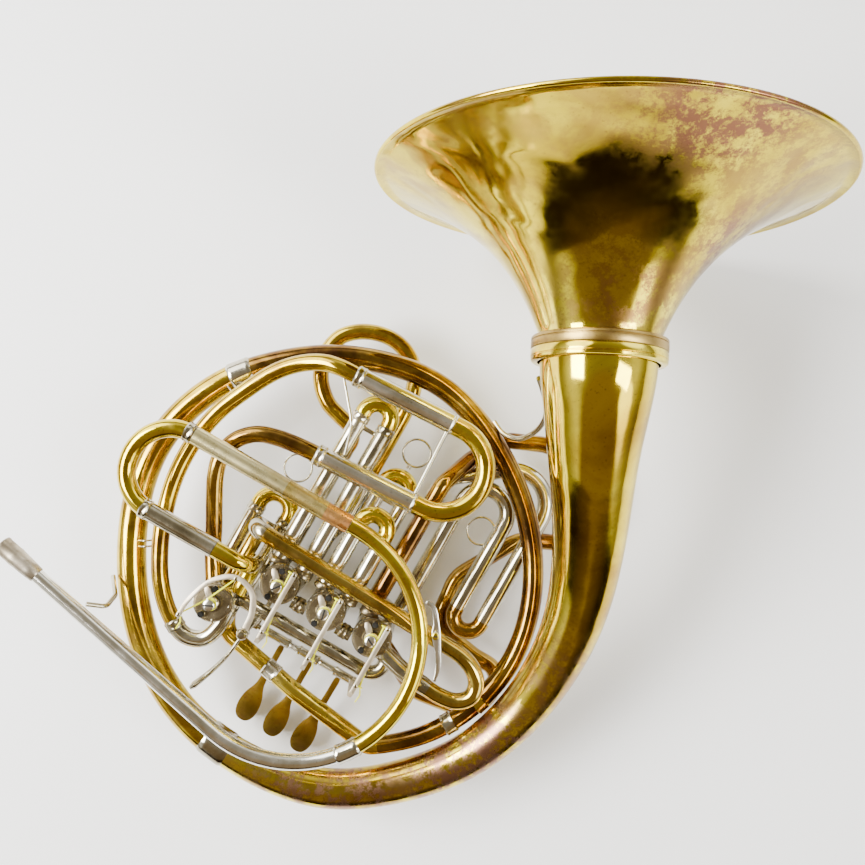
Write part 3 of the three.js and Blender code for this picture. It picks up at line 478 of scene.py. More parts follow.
def turned(profile, middle, axis=Z, sides=48, closed=False):
    """Vertices and faces of a turned piece: (radius, height) corners about an axis through a point.

    A profile that does not close on itself, and ends off the axis, is closed flat at both ends.
    """
    if not closed and profile[-1][0] > TIP:
        profile = [(TIP, profile[0][1]), *profile, (TIP, profile[-1][1])]
    rotate = Z.rotation_difference(axis.normalized())
    vertices = [
        Vector(middle) + rotate @ (spoke(a, radius) + Z * height)
        for radius, height in profile for a in circle(sides)
    ]
    return vertices, grid(len(profile), sides, closed)


def merged(*shapes):
    vertices, faces = [], []
    for some_vertices, some_faces in shapes:
        start = len(vertices)
        vertices += some_vertices
        faces += [tuple(start + i for i in face) for face in some_faces]
    return vertices, faces


def band(stations, low, high, height=0.7, count=10):
    """A ferrule: a sleeve with rounded ends that stands proud of a route between two distances."""
    rounding, bead_place, bead_width, bead_height, clearance = 0.8, 1.3, 0.7, 0.35, 0.02
    made = []
    for k, (point, radius) in enumerate(stretch(stations, low, high, count)):
        part = k / count
        edge = min(part, 1 - part) * (high - low)
        rise = height if edge > rounding else height * sin(pi / 2 * edge / rounding) * 0.8
        bead = bead_height * exp(-((edge - bead_place) / bead_width) ** 2)
        made.append((point, radius + rise + bead + clearance))
    return sweep(made, 36)


def prism(outline, step, bevel=0.0):
    """A flat plate: a loop of points and the vector through its thickness, with softened edges."""
    work = bmesh.new()
    low = [work.verts.new(p) for p in outline]
    high = [work.verts.new(p + step) for p in outline]
    work.faces.new(list(reversed(low)))
    work.faces.new(high)
    for i in range(len(outline)):
        j = (i + 1) % len(outline)
        work.faces.new((low[i], low[j], high[j], high[i]))
    bmesh.ops.recalc_face_normals(work, faces=work.faces)
    if bevel:
        edges = [e for e in work.edges if e.calc_face_angle(0) > radians(30)]
        bmesh.ops.bevel(work, geom=edges, offset=bevel, segments=2, affect="EDGES", profile=0.5)
    work.verts.index_update()
    shape = [v.co.copy() for v in work.verts], [tuple(v.index for v in f.verts) for f in work.faces]
    work.free()
    return shape


def upright(x, width, side, bevel):
    """A plate across x, from the (y, z) corners of its side."""
    return prism([vec(x - width / 2, y, z) for y, z in side], X * width, bevel)


def ribbon(stations, thickness, bevel):
    """A flat strip along a level route, twice as wide as the route's radius."""
    inside, outside = [], []
    for i, (point, radius) in enumerate(stations):
        ahead = (stations[min(i + 1, len(stations) - 1)][0] - stations[max(i - 1, 0)][0]).normalized()
        side = vec(-ahead.y, ahead.x, 0) * radius
        inside.append(point + side)
        outside.append(point - side)
    return prism(outside + inside[::-1], Z * thickness, bevel)


def softened(corners):
    """A closed outline with its corners cut off."""
    points = [Vector(c) for c in corners]
    return [p.lerp(q, part) for p, q in zip(points, points[1:] + points[:1]) for part in (0.25, 0.75)]


def coil(start, end, radius, wire, turns, across=(X, Y)):
    """A spring from one point to the other, wound in the plane of two unit vectors."""
    per_turn = 14
    steps = turns * per_turn
    stations = []
    for k in range(steps + 1):
        a = 2 * pi * k / per_turn
        spoke = (across[0] * cos(a) + across[1] * sin(a)) * radius
        stations.append((Vector(start).lerp(Vector(end), k / steps) + spoke, wire))
    return sweep(stations, 8)


def screw_head(x, y, z, radius, height, sides=28):
    dome = [(radius * 0.8, z), (radius, z + 0.15 * height), (radius, z + 0.55 * height)]
    dome += [(radius * cos(a), z + height * (0.55 + 0.4 * sin(a))) for a in (0.5, 0.9, 1.2)]
    return turned([*dome], (x, y, 0), sides=sides)


def screw_slot_shade(x, y, z, radius, height, turn):
    """Painted shade for the slot across a screw's head: a dark plate a little above the metal."""
    ahead, side = spoke(turn, radius * 0.92), spoke(turn + pi / 2, radius * 0.13)
    centre = vec(x, y, z + height * 0.8)
    corners = [centre - ahead - side, centre + ahead - side, centre + ahead + side, centre - ahead + side]
    return prism(corners, Z * (height * 0.2 + 0.03))


# -------- bell

AXIS = vec(
    -sin(BELL_YAW) * cos(BELL_PITCH),
    cos(BELL_YAW) * cos(BELL_PITCH),
    -sin(BELL_PITCH),
)
MOUTH = vec(17.5, 201.8, RIM_RADIUS * cos(BELL_PITCH))
RIM_WIRE = 1.6


def flare_radius(depth):
    return RIM_RADIUS * (1 + depth / FLARE_SCALE) ** -2


def on_bell(profile, sides=144):
    return turned([(r, -d) for r, d in profile], MOUTH, AXIS, sides, True)


def build_bell():
    steps = 40
    depths = [THROAT_DEPTH * (k / steps) ** 1.6 for k in range(steps + 1)]
    outside = [(flare_radius(d) - RIM_WIRE, d) for d in depths]
    throat = outside[-1][0]
    inside = [(r - BELL_WALL, d) for r, d in outside]
    rim = [
        (RIM_RADIUS - 1.5 + 1.5 * cos(a), 0.9 - 1.6 * sin(a))
        for a in (radians(x) for x in range(-100, 170, 18))
    ]
    low_end = 112.6
    profile = [*reversed(inside), *reversed(rim), *outside[3:], (throat, low_end), (throat - BELL_WALL, low_end)]
    put("bell_flare_skin", on_bell(profile), "flare_brass", "bell_flare", body="bell")
    wire = [(RIM_RADIUS - 1.6 + 1.42 * cos(a), 1.1 + 1.42 * sin(a)) for a in circle(14)]
    put("rim_wire", on_bell(wire, 200), "yellow_brass", body="bell")

    bore, gap = throat + 0.3, 0.15
    joint = FLARE_DEPTH - gap
    low = joint - RING_WIDTH
    ring = [
        (bore + 1.6, low), (RING_RADIUS - 1.3, low), (RING_RADIUS - 0.5, low + 0.3), (RING_RADIUS - 0.1, low + 1),
        (RING_RADIUS - 0.1, low + 2.4), (RING_RADIUS - 0.7, low + 2.7), (RING_RADIUS - 0.7, low + 3.1),
        (RING_RADIUS, low + 3.5), (RING_RADIUS, joint - 0.5), (RING_RADIUS - 0.4, joint), (bore, joint),
        (bore, joint - 6),
    ]
    put("bell_ring_turned", on_bell(ring), "bronze", "bell_ring", body="bell")
    start = FLARE_DEPTH + gap
    ring = [
        (bore, start), (RING_RADIUS - 0.4, start), (RING_RADIUS, start + 0.5), (RING_RADIUS, start + 4.6),
        (RING_RADIUS - 0.7, start + 5), (RING_RADIUS - 0.7, start + 5.4), (RING_RADIUS - 0.2, start + 5.8),
        (RING_RADIUS - 0.4, start + 7.2), (RING_RADIUS - 1.6, start + RING_WIDTH), (bore, start + RING_WIDTH),
    ]
    put("body_ring_turned", on_bell(ring), "yellow_brass", "body_ring")


# -------- tapered branches

NECK = MOUTH - AXIS * (FLARE_DEPTH + 2)
BELOW = NECK - AXIS * 14
TAIL = [
    (*NECK, 39.3), (*BELOW, 38.6), (84, 73.5, 158.5, 36.2), (98.5, 45, 150, 31.5), (113, 24, 140, 28.2),
    (136, -14, 120, 25.4), (154, -50, 102, 23), (164.5, -86, 87, 20.8), (167, -125, 76, 18.8),
    (163.5, -160, 68, 17.6), (153, -194, 64, 16.8), (136, -222, 61, 16.2), (110, -250, 60, 15.6),
    (79, -275, 60, 15), (51, -286.5, 60, 14.4), (20, -291.5, 60, 13.6), (-8, -292.6, 60, 13),
]
OUTER = [
    (-40, -289.5, 60, 12.2), (-68, -281, 60, 11.8), (-99, -264, 60, 11.5), (-130, -236, 60, 11.3),
    (-153, -202, 60, 11.1), (-168, -172, 60, 11), (-178.5, -140, 60, 10.8), (-181, -106, 60, 10.6),
    (-173, -72, 60, 10.4), (-158.5, -43.5, 60, 10.2),
]
INNER = [
    (-143, -24.5, 60, 9.8), (-118, -1, 60, 9.4), (-92, 17, 60, 9.2), (-51, 32.5, 60, 8.9),
    (-14.5, 37, 60, 8.8), (17, 30.5, 60, 8.6), (51, 15, 60, 8.5), (80, -4, 60, 8.4),
    (104, -27.5, 60, 8.2), (122, -53, 60, 8.1), (135, -81, 60, 8), (142, -110, 60, 7.9),
    (142, -143, 58.5, 7.7), (130, -182, 58.5, 7.4), (108, -213, 59.5, 7), (84, -230.5, 60, 6.8),
]
BRANCHES = TAIL + OUTER + INNER
TAIL_END = len(TAIL) - 0.5
OUTER_END = TAIL_END + len(OUTER)
EASING = 60


def build_branches():
    whole = eased(flowing(BRANCHES), EASING)
    first, second = round(TAIL_END * PER_KNOT), round(OUTER_END * PER_KNOT)
    for name, part, sides, wall, material in (
        ("bell_tail", whole[:first + 1], 72, BELL_WALL, "tail_brass"),
        ("outer_branch", whole[first:second + 1], 48, TUBE_WALL, "amber_brass"),
        ("inner_branch", whole[second:], 40, TUBE_WALL, "brown_brass"),
    ):
        skin(name, part, material, sides=sides, wall=wall)
    total = lengths(whole)
    for name, knot, reach, material in (
        ("tail_ferrule", TAIL_END, 11, "nickel"), ("top_ferrule", OUTER_END, 9, "nickel"),
        ("right_ferrule", OUTER_END + 13, 5, "yellow_brass"), ("lower_ferrule", OUTER_END + 13.8, 5, "nickel"),
    ):
        middle = total[round(knot * PER_KNOT)]
        ferrule(name, whole, middle - reach, middle + reach, 0.9, material)

    last, before = Vector(BRANCHES[-1][:3]), catmull(BRANCHES, len(BRANCHES) - 1.05)[0]
    on = last + (last - before).normalized() * 8
    entry = rounded([
        (*last, 0, 6.7), (on.x, on.y, 60, 12), (9, -226.5, 60, 40), (-62, -216.5, 48, 14), (-71, -199, 48, 0),
    ])
    skin("branch_entry", entry, "amber_brass", sides=28)
    ferrule("entry_ferrule", entry, 96, 108)


build_bell()
build_branches()


# -------- leadpipe and tuning slides

MAIN = {"top": -86.7, "bottom": -150, "left": -146.5, "right": -18, "lower_right": -93.5}


def build_leadpipe():
    start = vec(-218, -224.9, LEADPIPE_Z)
    turn = vec(77.3, -285.5, LEADPIPE_Z)
    heading = (turn - start).normalized()
    bend = 89.3
    route = rounded([
        (*start, 0, 5), (*turn, bend, 5.9), (turn.x, MAIN["top"], LEADPIPE_Z, bend, 6.1),
        (MAIN["right"] + 0.3, MAIN["top"], LEADPIPE_Z, 0, 6.2),
    ], step=4)
    total = lengths(route)
    join = next(s for s, (p, _) in zip(total, route) if p.x > 58)
    for name, low, high, material in (
        ("leadpipe", 0, join, "silver"), ("leadpipe_curve", join, total[-1], "yellow_brass"),
    ):
        skin(name, stretch(route, low, high, 90), material)
    ferrule("leadpipe_ferrule", route, join - 9, join + 9, 0.9)
    receiver = [
        (5.2, 9), (5.3, 0.4), (6.4, 0.1), (7, 0.6), (7.1, 1.8), (6.8, 2.8), (6.9, 12), (7.1, 14), (6.8, 16),
        (6.3, 26), (5.8, 33), (5.2, 34), (5.1, 30),
    ]
    shape = turned(receiver, start - heading * 9, heading, 36, True)
    put("receiver_turned", shape, "grey_nickel", "mouthpiece_receiver")


def build_main_slide():
    top, bottom, left, right, lower_right = MAIN.values()
    z, radius = LEADPIPE_Z, 6.8
    upper = rod((left, top, z), (right, top, z), radius)
    lower = rod((left, bottom, z), (lower_right, bottom, z), radius)
    put("main_sleeve_lower", sweep(lower, 36, SLEEVE_WALL), "nickel", "main_slide_sleeves")
    put("main_sleeve_upper", sweep(upper, 36, SLEEVE_WALL), "nickel")
    for name, low, high, count, radius, material in (
        ("pale", 0.5, 76, 20, 6.86, "cream_metal"), ("seam", 76, 108.5, 14, 6.95, "matt_brass"),
        ("patch", 108, 128.3, 12, 6.87, "copper_patch"),
    ):
        put(f"main_sleeve_{name}", sweep([(p, radius) for p, _ in stretch(upper, low, high, count)], 36), material)
    bend = (top - bottom) / 2
    edge = left - 0.3
    half = ((edge, 0, 5.9), (edge - 0.2, 0, 6.6), (edge - 1 - bend, bend - 0.1, 6.6))
    going = [(x, top, z, *more) for x, *more in ((left + 60, 0, 5.9), *half)]
    coming = [(x, bottom, z, *more) for x, *more in (*reversed(half), (lower_right - 2, 0, 5.9))]
    skin("main_crook", rounded(going + coming), "yellow_brass", "main_slide_crook", body="main_slide")
    for name, y in (("upper", top), ("lower", bottom)):
        run = rod((left - 7, y, z), (left - 0.4, y, z), 6.6)
        ferrule(f"main_crook_ferrule_{name}", run, 0.2, 6.4, 0.6, body="main_slide")
    leaving = rounded([
        (lower_right + 0.3, bottom, z, 0, 6.2), (-67, bottom, z, 13), (-67, bottom, UPPER, 11), (-67, -178, UPPER, 0),
    ])
    skin("main_exit", leaving, "yellow_brass", "main_slide_exit")


F_TURN = radians(3)
F_REACH, F_LENGTH = 32.4, 81


def on_f_slide(along, across):
    x = 13 + along * cos(F_TURN) - across * sin(F_TURN)
    y = -19.8 + along * sin(F_TURN) + across * cos(F_TURN)
    return (x, y, F_Z)


def build_f_slide():
    for name, side, nodes in (("upper", 1, ["f_slide_sleeves"]), ("lower", -1, [])):
        run = rod(on_f_slide(-F_LENGTH, side * F_REACH), on_f_slide(0, side * F_REACH), 7.5)
        put(f"f_sleeve_{name}", sweep(run, 36, SLEEVE_WALL), "silver", *nodes)
        put(f"f_sleeve_bead_{name}", band(run, 78.4, F_LENGTH, 0.5, 6), "silver")
        ferrule(f"f_sleeve_root_{name}", run, 0, 7, 0.5)
    brace = rod(on_f_slide(-3, -F_REACH + 6.8), on_f_slide(-3, F_REACH - 6.8), 1.6)
    put("f_brace", sweep(brace, 20), "nickel")
    end = F_REACH + 6
    half = ((-50, 0, 6.6), (0.3, 0, 6.6), (0.5, 0, 7.3), (end, F_REACH - 0.1, 7.3))
    going = [(*on_f_slide(along, F_REACH), bend, radius) for along, bend, radius in half]
    coming = [(*on_f_slide(along, -F_REACH), bend, radius) for along, bend, radius in reversed(half)]
    skin("f_crook", rounded(going + coming), "yellow_brass", "f_slide_crook", body="f_slide")
    supply = smooth_route([
        (-66.5, -186, UPPER), (-66.5, -205, UPPER), (-72, -221, UPPER), (-86, -226, UPPER), (-104, -217, 76.5),
        (-121, -200, 77), (-135, -176, 78), (-145, -150, 79), (-151, -122, 80), (-151.5, -94, 80.5), (-147, -68, 81),
        (-137.5, -44.5, 82.5), (-124, -19.5, 85), (-110, -4.5, 88), (-95, 4.5, 92), (-82, 7.6, 94.7),
        on_f_slide(-F_LENGTH - 0.3, F_REACH),
    ], F_TUBE)
    skin("f_supply", supply, "amber_brass")
    put("f_supply_elbow", sweep([(q, r + 0.12) for q, r in stretch(supply, 0, 62, 40)], 32), "nickel")
    ferrule("f_supply_ferrule", supply, 58, 66)
    back = smooth_route([
        on_f_slide(-F_LENGTH - 0.3, -F_REACH), (-80, -57.6, 95), (-97, -60.3, 94), (-112, -66, 92.5),
        (-123, -77.5, 91), (-127, -93, 89), (-124, -108, 86), (-117, -124, 82), (-108, -142, 78), (-99, -160, UPPER),
        (-83, -186, UPPER),
    ], F_TUBE)
    skin("f_return", back, "brown_brass", sides=28)


PORT = -160


def build_links():
    x, y = VALVES[4]
    start, passing = (20, -129.7, CROSS_Z), -126.5
    rise = rounded([(x, y + 4, 62, 0, 6.3), (x, passing, 62, 10), (x, passing, CROSS_Z, 10), (*start, 0)])
    turn = smooth_route([
        start, (57, -130.8, CROSS_Z), (73, -131, CROSS_Z), (87, -131.3, CROSS_Z), (101, -132.5, 89.5),
        (113, -137, 89), (121, -145, 88.5), (122.5, -156, 88), (115, -164.5, 86.5), (102, -167.5, 85),
        (88, -167, 83.5), (72, -166.3, 80), (42, PORT, UPPER),
    ], 6.3)
    cross = rise[:-1] + turn
    skin("cross_tube", cross, "olive_brass")
    whole = lengths(cross)[-1]
    ferrule("cross_start_ferrule", cross, 64, 88, 0.6)
    ferrule("cross_end_sleeve", cross, whole - 52, whole - 4, 0.5)
    line = rounded([
        (x + 6, -185, 62, 0, 5.6), (58, -185, 62, 10), (56, -166, 62, 8), (41, -156, 62, 0),
    ])
    skin("valve_line", line, "nickel", "valve_line_tube", sides=28)


build_leadpipe()
build_main_slide()
build_f_slide()
build_links()


# -------- valve slides

CASING_SIDE = -142


def sleeves(name, left, right, z, low, high):
    for side, x, nodes in (("left", left, [f"{name}_sleeves"]), ("right", right, [])):
        run = rod((x, low, z), (x, high, z), SLEEVE)
        put(f"{name}_{side}", sweep(run, 32, SLEEVE_WALL), "nickel", *nodes)
        ferrule(f"{name}_{side}_mouth", run, high - low - 6.5, high - low, 0.45)
    across = rod((left + 6, high - 9, z), (right - 6, high - 9, z), 1.8)
    put(f"{name}_bridge", sweep(across, 16), "nickel")


def bow(name, left, right, z, end, edge, out, material="yellow_brass"):
    """A slide's legs, which reach in to one end, and the bow outside its sleeves, which end at an edge.

    out is 1 for a slide that pulls out along +Y and -1 for one that pulls out the other way.
    """
    bend = (right - left) / 2
    edge += 0.3 * out
    turn = edge + (2 + bend) * out
    half = ((end, 0, LEG), (edge, 0, LEG), (edge + 0.2 * out, 0, BOW), (turn, bend - 0.05, BOW))
    going = [(left, y, z, *more) for y, *more in half]
    coming = [(right, y, z, *more) for y, *more in reversed(half)]
    skin(f"{name}_bow", rounded(going + coming), material, f"{name}_crook", body=f"{name}_slide")


def build_short_slides():
    def legs(valve):
        return VALVES[valve][0] - LEG_OFFSET, VALVES[valve][0] + LEG_OFFSET

    for name, (left, right), z, low, high, end in (
        ("first_bb", legs(1), UPPER, CASING_SIDE, -14, -74),
        ("second_bb", legs(2), UPPER, CASING_SIDE, -88, -124),
        ("second_f", legs(2), LOWER, CASING_SIDE, -56, -104),
        ("change", CHANGE_LEGS, LOWER, -180, -118, -155),
    ):
        sleeves(name, left, right, z, low, high)
        bow(name, left, right, z, end, high, 1)


def build_first_f_slide():
    z, left, right, loop_right = LOWER, -42 - LEG_OFFSET, -42 + LEG_OFFSET, -26.6
    straight = rod((left, CASING_SIDE, z), (left, -46, z), SLEEVE)
    put("first_f_left", sweep(straight, 32, SLEEVE_WALL), "nickel", "first_f_sleeves")
    jog = rounded([
        (right, CASING_SIDE, z, 0, SLEEVE), (right, -112, z, 22), (loop_right, -96, z, 22), (loop_right, -62, z, 0),
    ])
    put("first_f_right", sweep(jog, 32, SLEEVE_WALL), "nickel")
    start = rounded([(left, -80, z, 0, LEG), (left, -45.7, z, 0, LEG), (left, -45.5, z, 0, BOW)])
    round_loop = smooth_route([
        (left, -45.5, z), (left, -37, z), (-58, -29, z), (-70, -25.5, z), (-83, -21.3, z), (-95.6, -10.5, z),
        (-102.5, 2, z), (-104.3, 16, z), (-101, 29, z), (-93, 38, z), (-82, 44.5, z), (-68, 48, z), (-54, 46.5, z),
        (-42, 40, z), (-33, 29, z), (-28, 14, z), (loop_right, -2, z),
    ], BOW)
    end = rounded([(loop_right, -61.5, z, 0, BOW), (loop_right, -61.7, z, 0, LEG), (loop_right, -78, z, 0, LEG)])
    loop = start[:-1] + round_loop + end
    skin("first_f_loop", loop, "amber_brass", "first_f_crook", body="first_f_slide")


def build_third_slides():
    z, left, right = LOWER, 37 - LEG_OFFSET, 37 + LEG_OFFSET
    inside, outside, low = 86, 109, -110
    for name, corners in (
        ("outward", [
            (right, CASING_SIDE, z, 0, SLEEVE), (right, -16, z, 19), (inside, -16, z, 19), (inside, low, z, 0),
        ]),
        ("homeward", [
            (outside, low, z, 0, SLEEVE), (outside, 16, z, 26), (72, 8, z, 22), (left, -26, z, 24),
            (left, CASING_SIDE, z, 0),
        ]),
    ):
        skin(f"third_bb_{name}", rounded(corners), "nickel", wall=SLEEVE_WALL)
    bow("third_bb", inside, outside, z, low + 45, low, -1, "brown_brass")
    detour = rounded([
        (left, CASING_SIDE, UPPER, 0, 6.6), (left, -30, UPPER, 14), (36, -4, 58, 10), (43, 8, 44.5, 10),
        (54, 24, 43.6, 16), (84, 37, 42, 24), (108, 36, 39, 24), (140, 12, 34, 24), (138, -24, 28, 18),
        (104, -40, 25, 30), (75, -92, 25, 26), (80, -134, 25, 20), (120, -140, 25, 20), (146, -140, 25, 14),
        (146, -180, 28, 24), (90, -186, 36, 24), (41, PORT, LOWER, 0),
    ])
    skin("third_f_loop", detour, "brown_brass", sides=28)


build_short_slides()
build_first_f_slide()
build_third_slides()


# -------- valves

def build_valve(index, x, y):
    middle = vec(x, y, 0)

    def part(kind, profile, material, *nodes, sides=64, closed=False, out=0, angle=0):
        place = middle + spoke(radians(angle), out)
        put(f"valve_{index}_{kind}", turned(profile, place, sides=sides, closed=closed), material, *nodes)

    shell = [
        (13.2, 14), (15, 14), (15, 17), (14.5, 17.6), (14.5, 20), (14.8, 20.6), (14.8, 33), (15, 33.4), (15, 50.6),
        (14.8, 51), (14.8, 67), (15, 67.4), (15, 84.6), (14.6, 85), (14.6, 86.4), (15, 86.8), (15, 89.4),
        (14.7, 90.2), (13.4, 90.4), (13.4, 60), (13.2, 20),
    ]
    part("shell", shell, "nickel", f"casing_{index}", closed=True)
    plate = [
        (13.3, 89), (14.2, 90.2), (14.2, 91), (13.7, 91.6), (12.2, 91.7), (11.9, 91.4), (7.2, 91.4),
        (6.9, 91.9), (6.2, 92), (5.9, 91.6),
    ]
    part("plate", plate, "brown_nickel")
    stop = [(2.4, 91), (2.4, 93.2), (2.1, 93.6)]
    cork = [(2.2, 93.4), (2.35, 94.2), (2.35, 96.2), (1.9, 97)]
    for side, angle in (("a", 104), ("b", 256)):
        part(f"stop_{side}", stop, "nickel", sides=24, out=11, angle=angle)
        part(f"cork_{side}", cork, "cork", sides=24, out=11, angle=angle)
    pin = [(0.8, 91), (0.8, 91.9), (0.5, 92)]
    for angle in (15, 170, 300):
        part(f"pin_{angle}", pin, "nickel", sides=12, out=12.9, angle=angle)
    cap = [
        (9.6, 0), (10.2, 0.5), (12, 3), (15.2, 5.4), (16, 6.4), (16, 12.9), (15.4, 13.7), (12.9, 13.7),
        (12.9, 16),
    ]
    part("cap", cap, "nickel", f"bottom_cap_{index}")
    ribs = []
    for a in circle(48):
        across = spoke(a + pi / 2, 0.55)
        foot = middle + spoke(a, 15.7) + Z * 7.2
        ribs.append(prism([foot + spoke(a, 0.5), foot + across, foot - across], Z * 5))
    put(f"valve_{index}_knurl", merged(*ribs), "nickel")

    rotor = f"rotor_{index}"
    hub = [
        (2.5, 40), (2.5, 92.3), (5.4, 92.3), (5.4, 95.4), (4.9, 96), (3.8, 96.4), (HUB_NECK, 97),
        (HUB_NECK, 102), (4, 102.2),
    ]
    put(f"{rotor}_hub", turned(hub, (x, y, 0), sides=40), "nickel", rotor, body=rotor)
    screw = (x, y, 102.2, 4.15, 1.7)
    put(f"{rotor}_screw", screw_head(*screw), "silver", body=rotor)
    # The slot's dark plate is painted shade, in the near-black cork material
    put(f"{rotor}_screw_slot_shade", screw_slot_shade(*screw, 0.9 * index), "cork", body=rotor)
    aim = radians(135)
    corners = ((3, -2.3), (10.4, -2.3), (13, -1.2), (13, 1.2), (10.4, 2.3), (3, 2.3))
    arm = [middle + Z * 92.8 + spoke(aim, ahead) + spoke(aim + pi / 2, across) for ahead, across in corners]
    put(f"{rotor}_arm", prism(arm, Z * 2.7, 0.3), "lever_nickel", body=rotor)


def build_knuckles():
    for left, right in ((1, 2), (2, 3)):
        x1, x2 = VALVES[left][0] + 13.5, VALVES[right][0] - 13.5
        run = rod((x1, -165.5, 66), (x2, -165.5, 66), 5.4)
        put(f"knuckle_{left}_{right}", sweep(run, 32), "nickel")
        put(f"knuckle_band_{left}_{right}", band(run, 3, x2 - x1 - 3, 0.5), "brown_nickel")
    for valve in (1, 2, 3):
        for tier, z in (("low", LOWER), ("high", UPPER)):
            for hand, side in (("left", -1), ("right", 1)):
                if (valve, tier, hand) == (3, "high", "right"):
                    continue
                x = VALVES[valve][0] + side * LEG_OFFSET
                run = rod((x, -144.5, z), (x, -138, z), 6.5)
                put(f"collar_{valve}_{tier}_{hand}", band(run, 0.5, 6.5, 0.6), "brown_nickel")


# -------- levers, linkage and water key

# By number: the middle of the bar, the middle of the finger pad, and the two ends of the barrel, all along X
LEVERS = {1: (-34.8, -19, -38, -14), 2: (3.7, 7, -6, 13), 3: (43.2, 33, 27, 46)}


def build_lever(number, bar, pad, low, high):
    name, body, long = f"lever_{number}", f"finger_lever_{number}", high - low
    barrel = [
        (3.4, 0), (4.2, 0.3), (4.2, 2.2), (3.7, 2.6), (3.7, long - 2.6), (4.2, long - 2.2), (4.2, long - 0.3),
        (3.4, long), (2.3, long), (2.3, 0),
    ]
    put(f"{name}_barrel", turned(barrel, (low, HINGE_Y, HINGE_Z), X, 36, True), "nickel", name, body=body)
    side = [
        (-206, 35), (-204, 35), (-199.6, 66), (-194.6, 98.6), (-190, 104.6), (-137.6, 104.8), (-137, 105.4),
        (-137, 106.6), (-137.6, 107.2), (-191.6, 107.2), (-196.6, 102), (-201.6, 68),
    ]
    put(f"{name}_bar", upright(bar, 3.4, side, 0.35), "lever_nickel", body=body)
    for end, y in (("far", -139), ("near", -186)):
        put(f"{name}_{end}_screw", screw_head(bar, y, 107, 1.5, 1, 16), "nickel", body=body)
    for end, y, drop in (("far", -138.6, 1), ("near", -186.2, 2)):
        peg = [(vec(bar, y, 105 - fall), radius) for fall, radius in ((0, 1.1), (drop / 2, 1.2), (drop, 1.6))]
        put(f"{name}_{end}_peg", sweep(peg, 16), "nickel", body=body)
    tilt = Matrix.Rotation(radians(16), 4, "X")
    base = vec(pad, HINGE_Y - 2.6, HINGE_Z - 1.4)
    half = [
        (2.6, 1.2), (2.6, -20), (3, -40), (4.6, -47), (7.4, -53.5), (8.9, -61), (9.1, -68), (7.8, -75), (4.4, -79.6),
        (0, -80.5),
    ]
    outline = half + [(-x, y) for x, y in reversed(half[:-1])]
    blade = [base + tilt @ p for p in softened([(x, y, 0) for x, y in outline])]
    put(f"{name}_blade", prism(blade, tilt @ (Z * 1.8), 0.4), "pad_brass", body=body)
    web = [(-209, 29.4), (-203, 27.6), (-201.5, 31), (-206, 36), (-209, 33)]
    put(f"{name}_web", upright(pad, 4.8, web, 0.3), "nickel", body=body)


def build_hinge():
    ends = ((-47, 1.6), (-46.6, 2), (50, 2), (50.5, 1.6))
    shaft = [(vec(x, HINGE_Y, HINGE_Z), radius) for x, radius in ends]
    put("hinge_shaft", sweep(shaft, 24), "nickel", "lever_hinge_rod")
    side = [
        (HINGE_Y - 2, 29), (HINGE_Y - 2.6, 34.4), (HINGE_Y + 3, 34.4), (HINGE_Y + 7, 31), (-166, 31), (-166, 27),
        (HINGE_Y + 1, 27),
    ]
    for name, x in (("left", -45), ("right", 48.5)):
        put(f"hinge_arm_{name}", upright(x, 4, side, 0.4), "nickel")
    pitch = 1.2
    for number, x1, x2 in ((1, -13.6, -6.6), (2, 13.8, 26.2)):
        ends = ((x1, HINGE_Y, HINGE_Z), (x2, HINGE_Y, HINGE_Z))
        put(f"hinge_spring_{number}", coil(*ends, 2.9, 0.45, round((x2 - x1) / pitch), (Y, Z)), "silver")


THUMB = (-46, -194.2)
THUMB_FAR, THUMB_NEAR = (-70, -162.2), (-93.2, -205)


def build_thumb():
    x, y = THUMB
    post = [
        (TIP, 50), (3, 50), (3, 58), (2.2, 59), (2.2, 100.3), (4.2, 100.8), (4.2, 103.4), (3.4, 103.8), (2, 103.8),
        (2, 110.6), (3, 111), (3.2, 111.6), (2.6, 112.5), (TIP, 112.8),
    ]
    put("thumb_post", turned(post, (x, y, 0), sides=36), "nickel", "thumb_hinge_post")
    knots = [(0, 3), (-2, 17), (-9, 29), (-23, 33), (-37, 24), (-46, 3), (-47, -13)]
    curve = [(x + a, y + b, BAR_Z, 2.3 - 0.12 * i) for i, (a, b) in enumerate(knots)]
    put("thumb_arc", ribbon(flowing(curve, 7), 2.4, 0.4), "lever_nickel", "thumb_lever", body="thumb_lever")
    eye = [
        (2.3, 104.8), (4.4, 104.8), (4.6, 105.4), (4.6, 107), (4.1, 107.4), (4.1, 109.4), (3.6, 110.2), (2.3, 110.2),
    ]
    put("thumb_eye", turned(eye, (x, y, 0), sides=36, closed=True), "nickel", body="thumb_lever")
    touch = [
        (x, y - 3, 106, 1.2), (x - 2, y - 20, 102.8, 1.5), (x - 7, y - 38, 96.8, 2), (x - 13, y - 54, 92.8, 2.6),
        (x - 14.5, y - 58, 92.2, 1.4),
    ]
    put("thumb_touch", sweep(flowing(touch, 6), 20), "nickel", body="thumb_lever")
    put("thumb_spring", coil((x, y, 59.6), (x, y, 72), 2.9, 0.45, 9), "silver")
    for name, place in (("far", THUMB_FAR), ("near", THUMB_NEAR)):
        put(f"thumb_{name}_screw", screw_head(*place, 107, 1.5, 1, 16), "nickel", body="thumb_lever")


CORD_RADIUS, CORD_END = 0.62, 0.5
WRAP = HUB_NECK + CORD_RADIUS
WRAP_TOP, WRAP_DROP = 98.7, 1.2


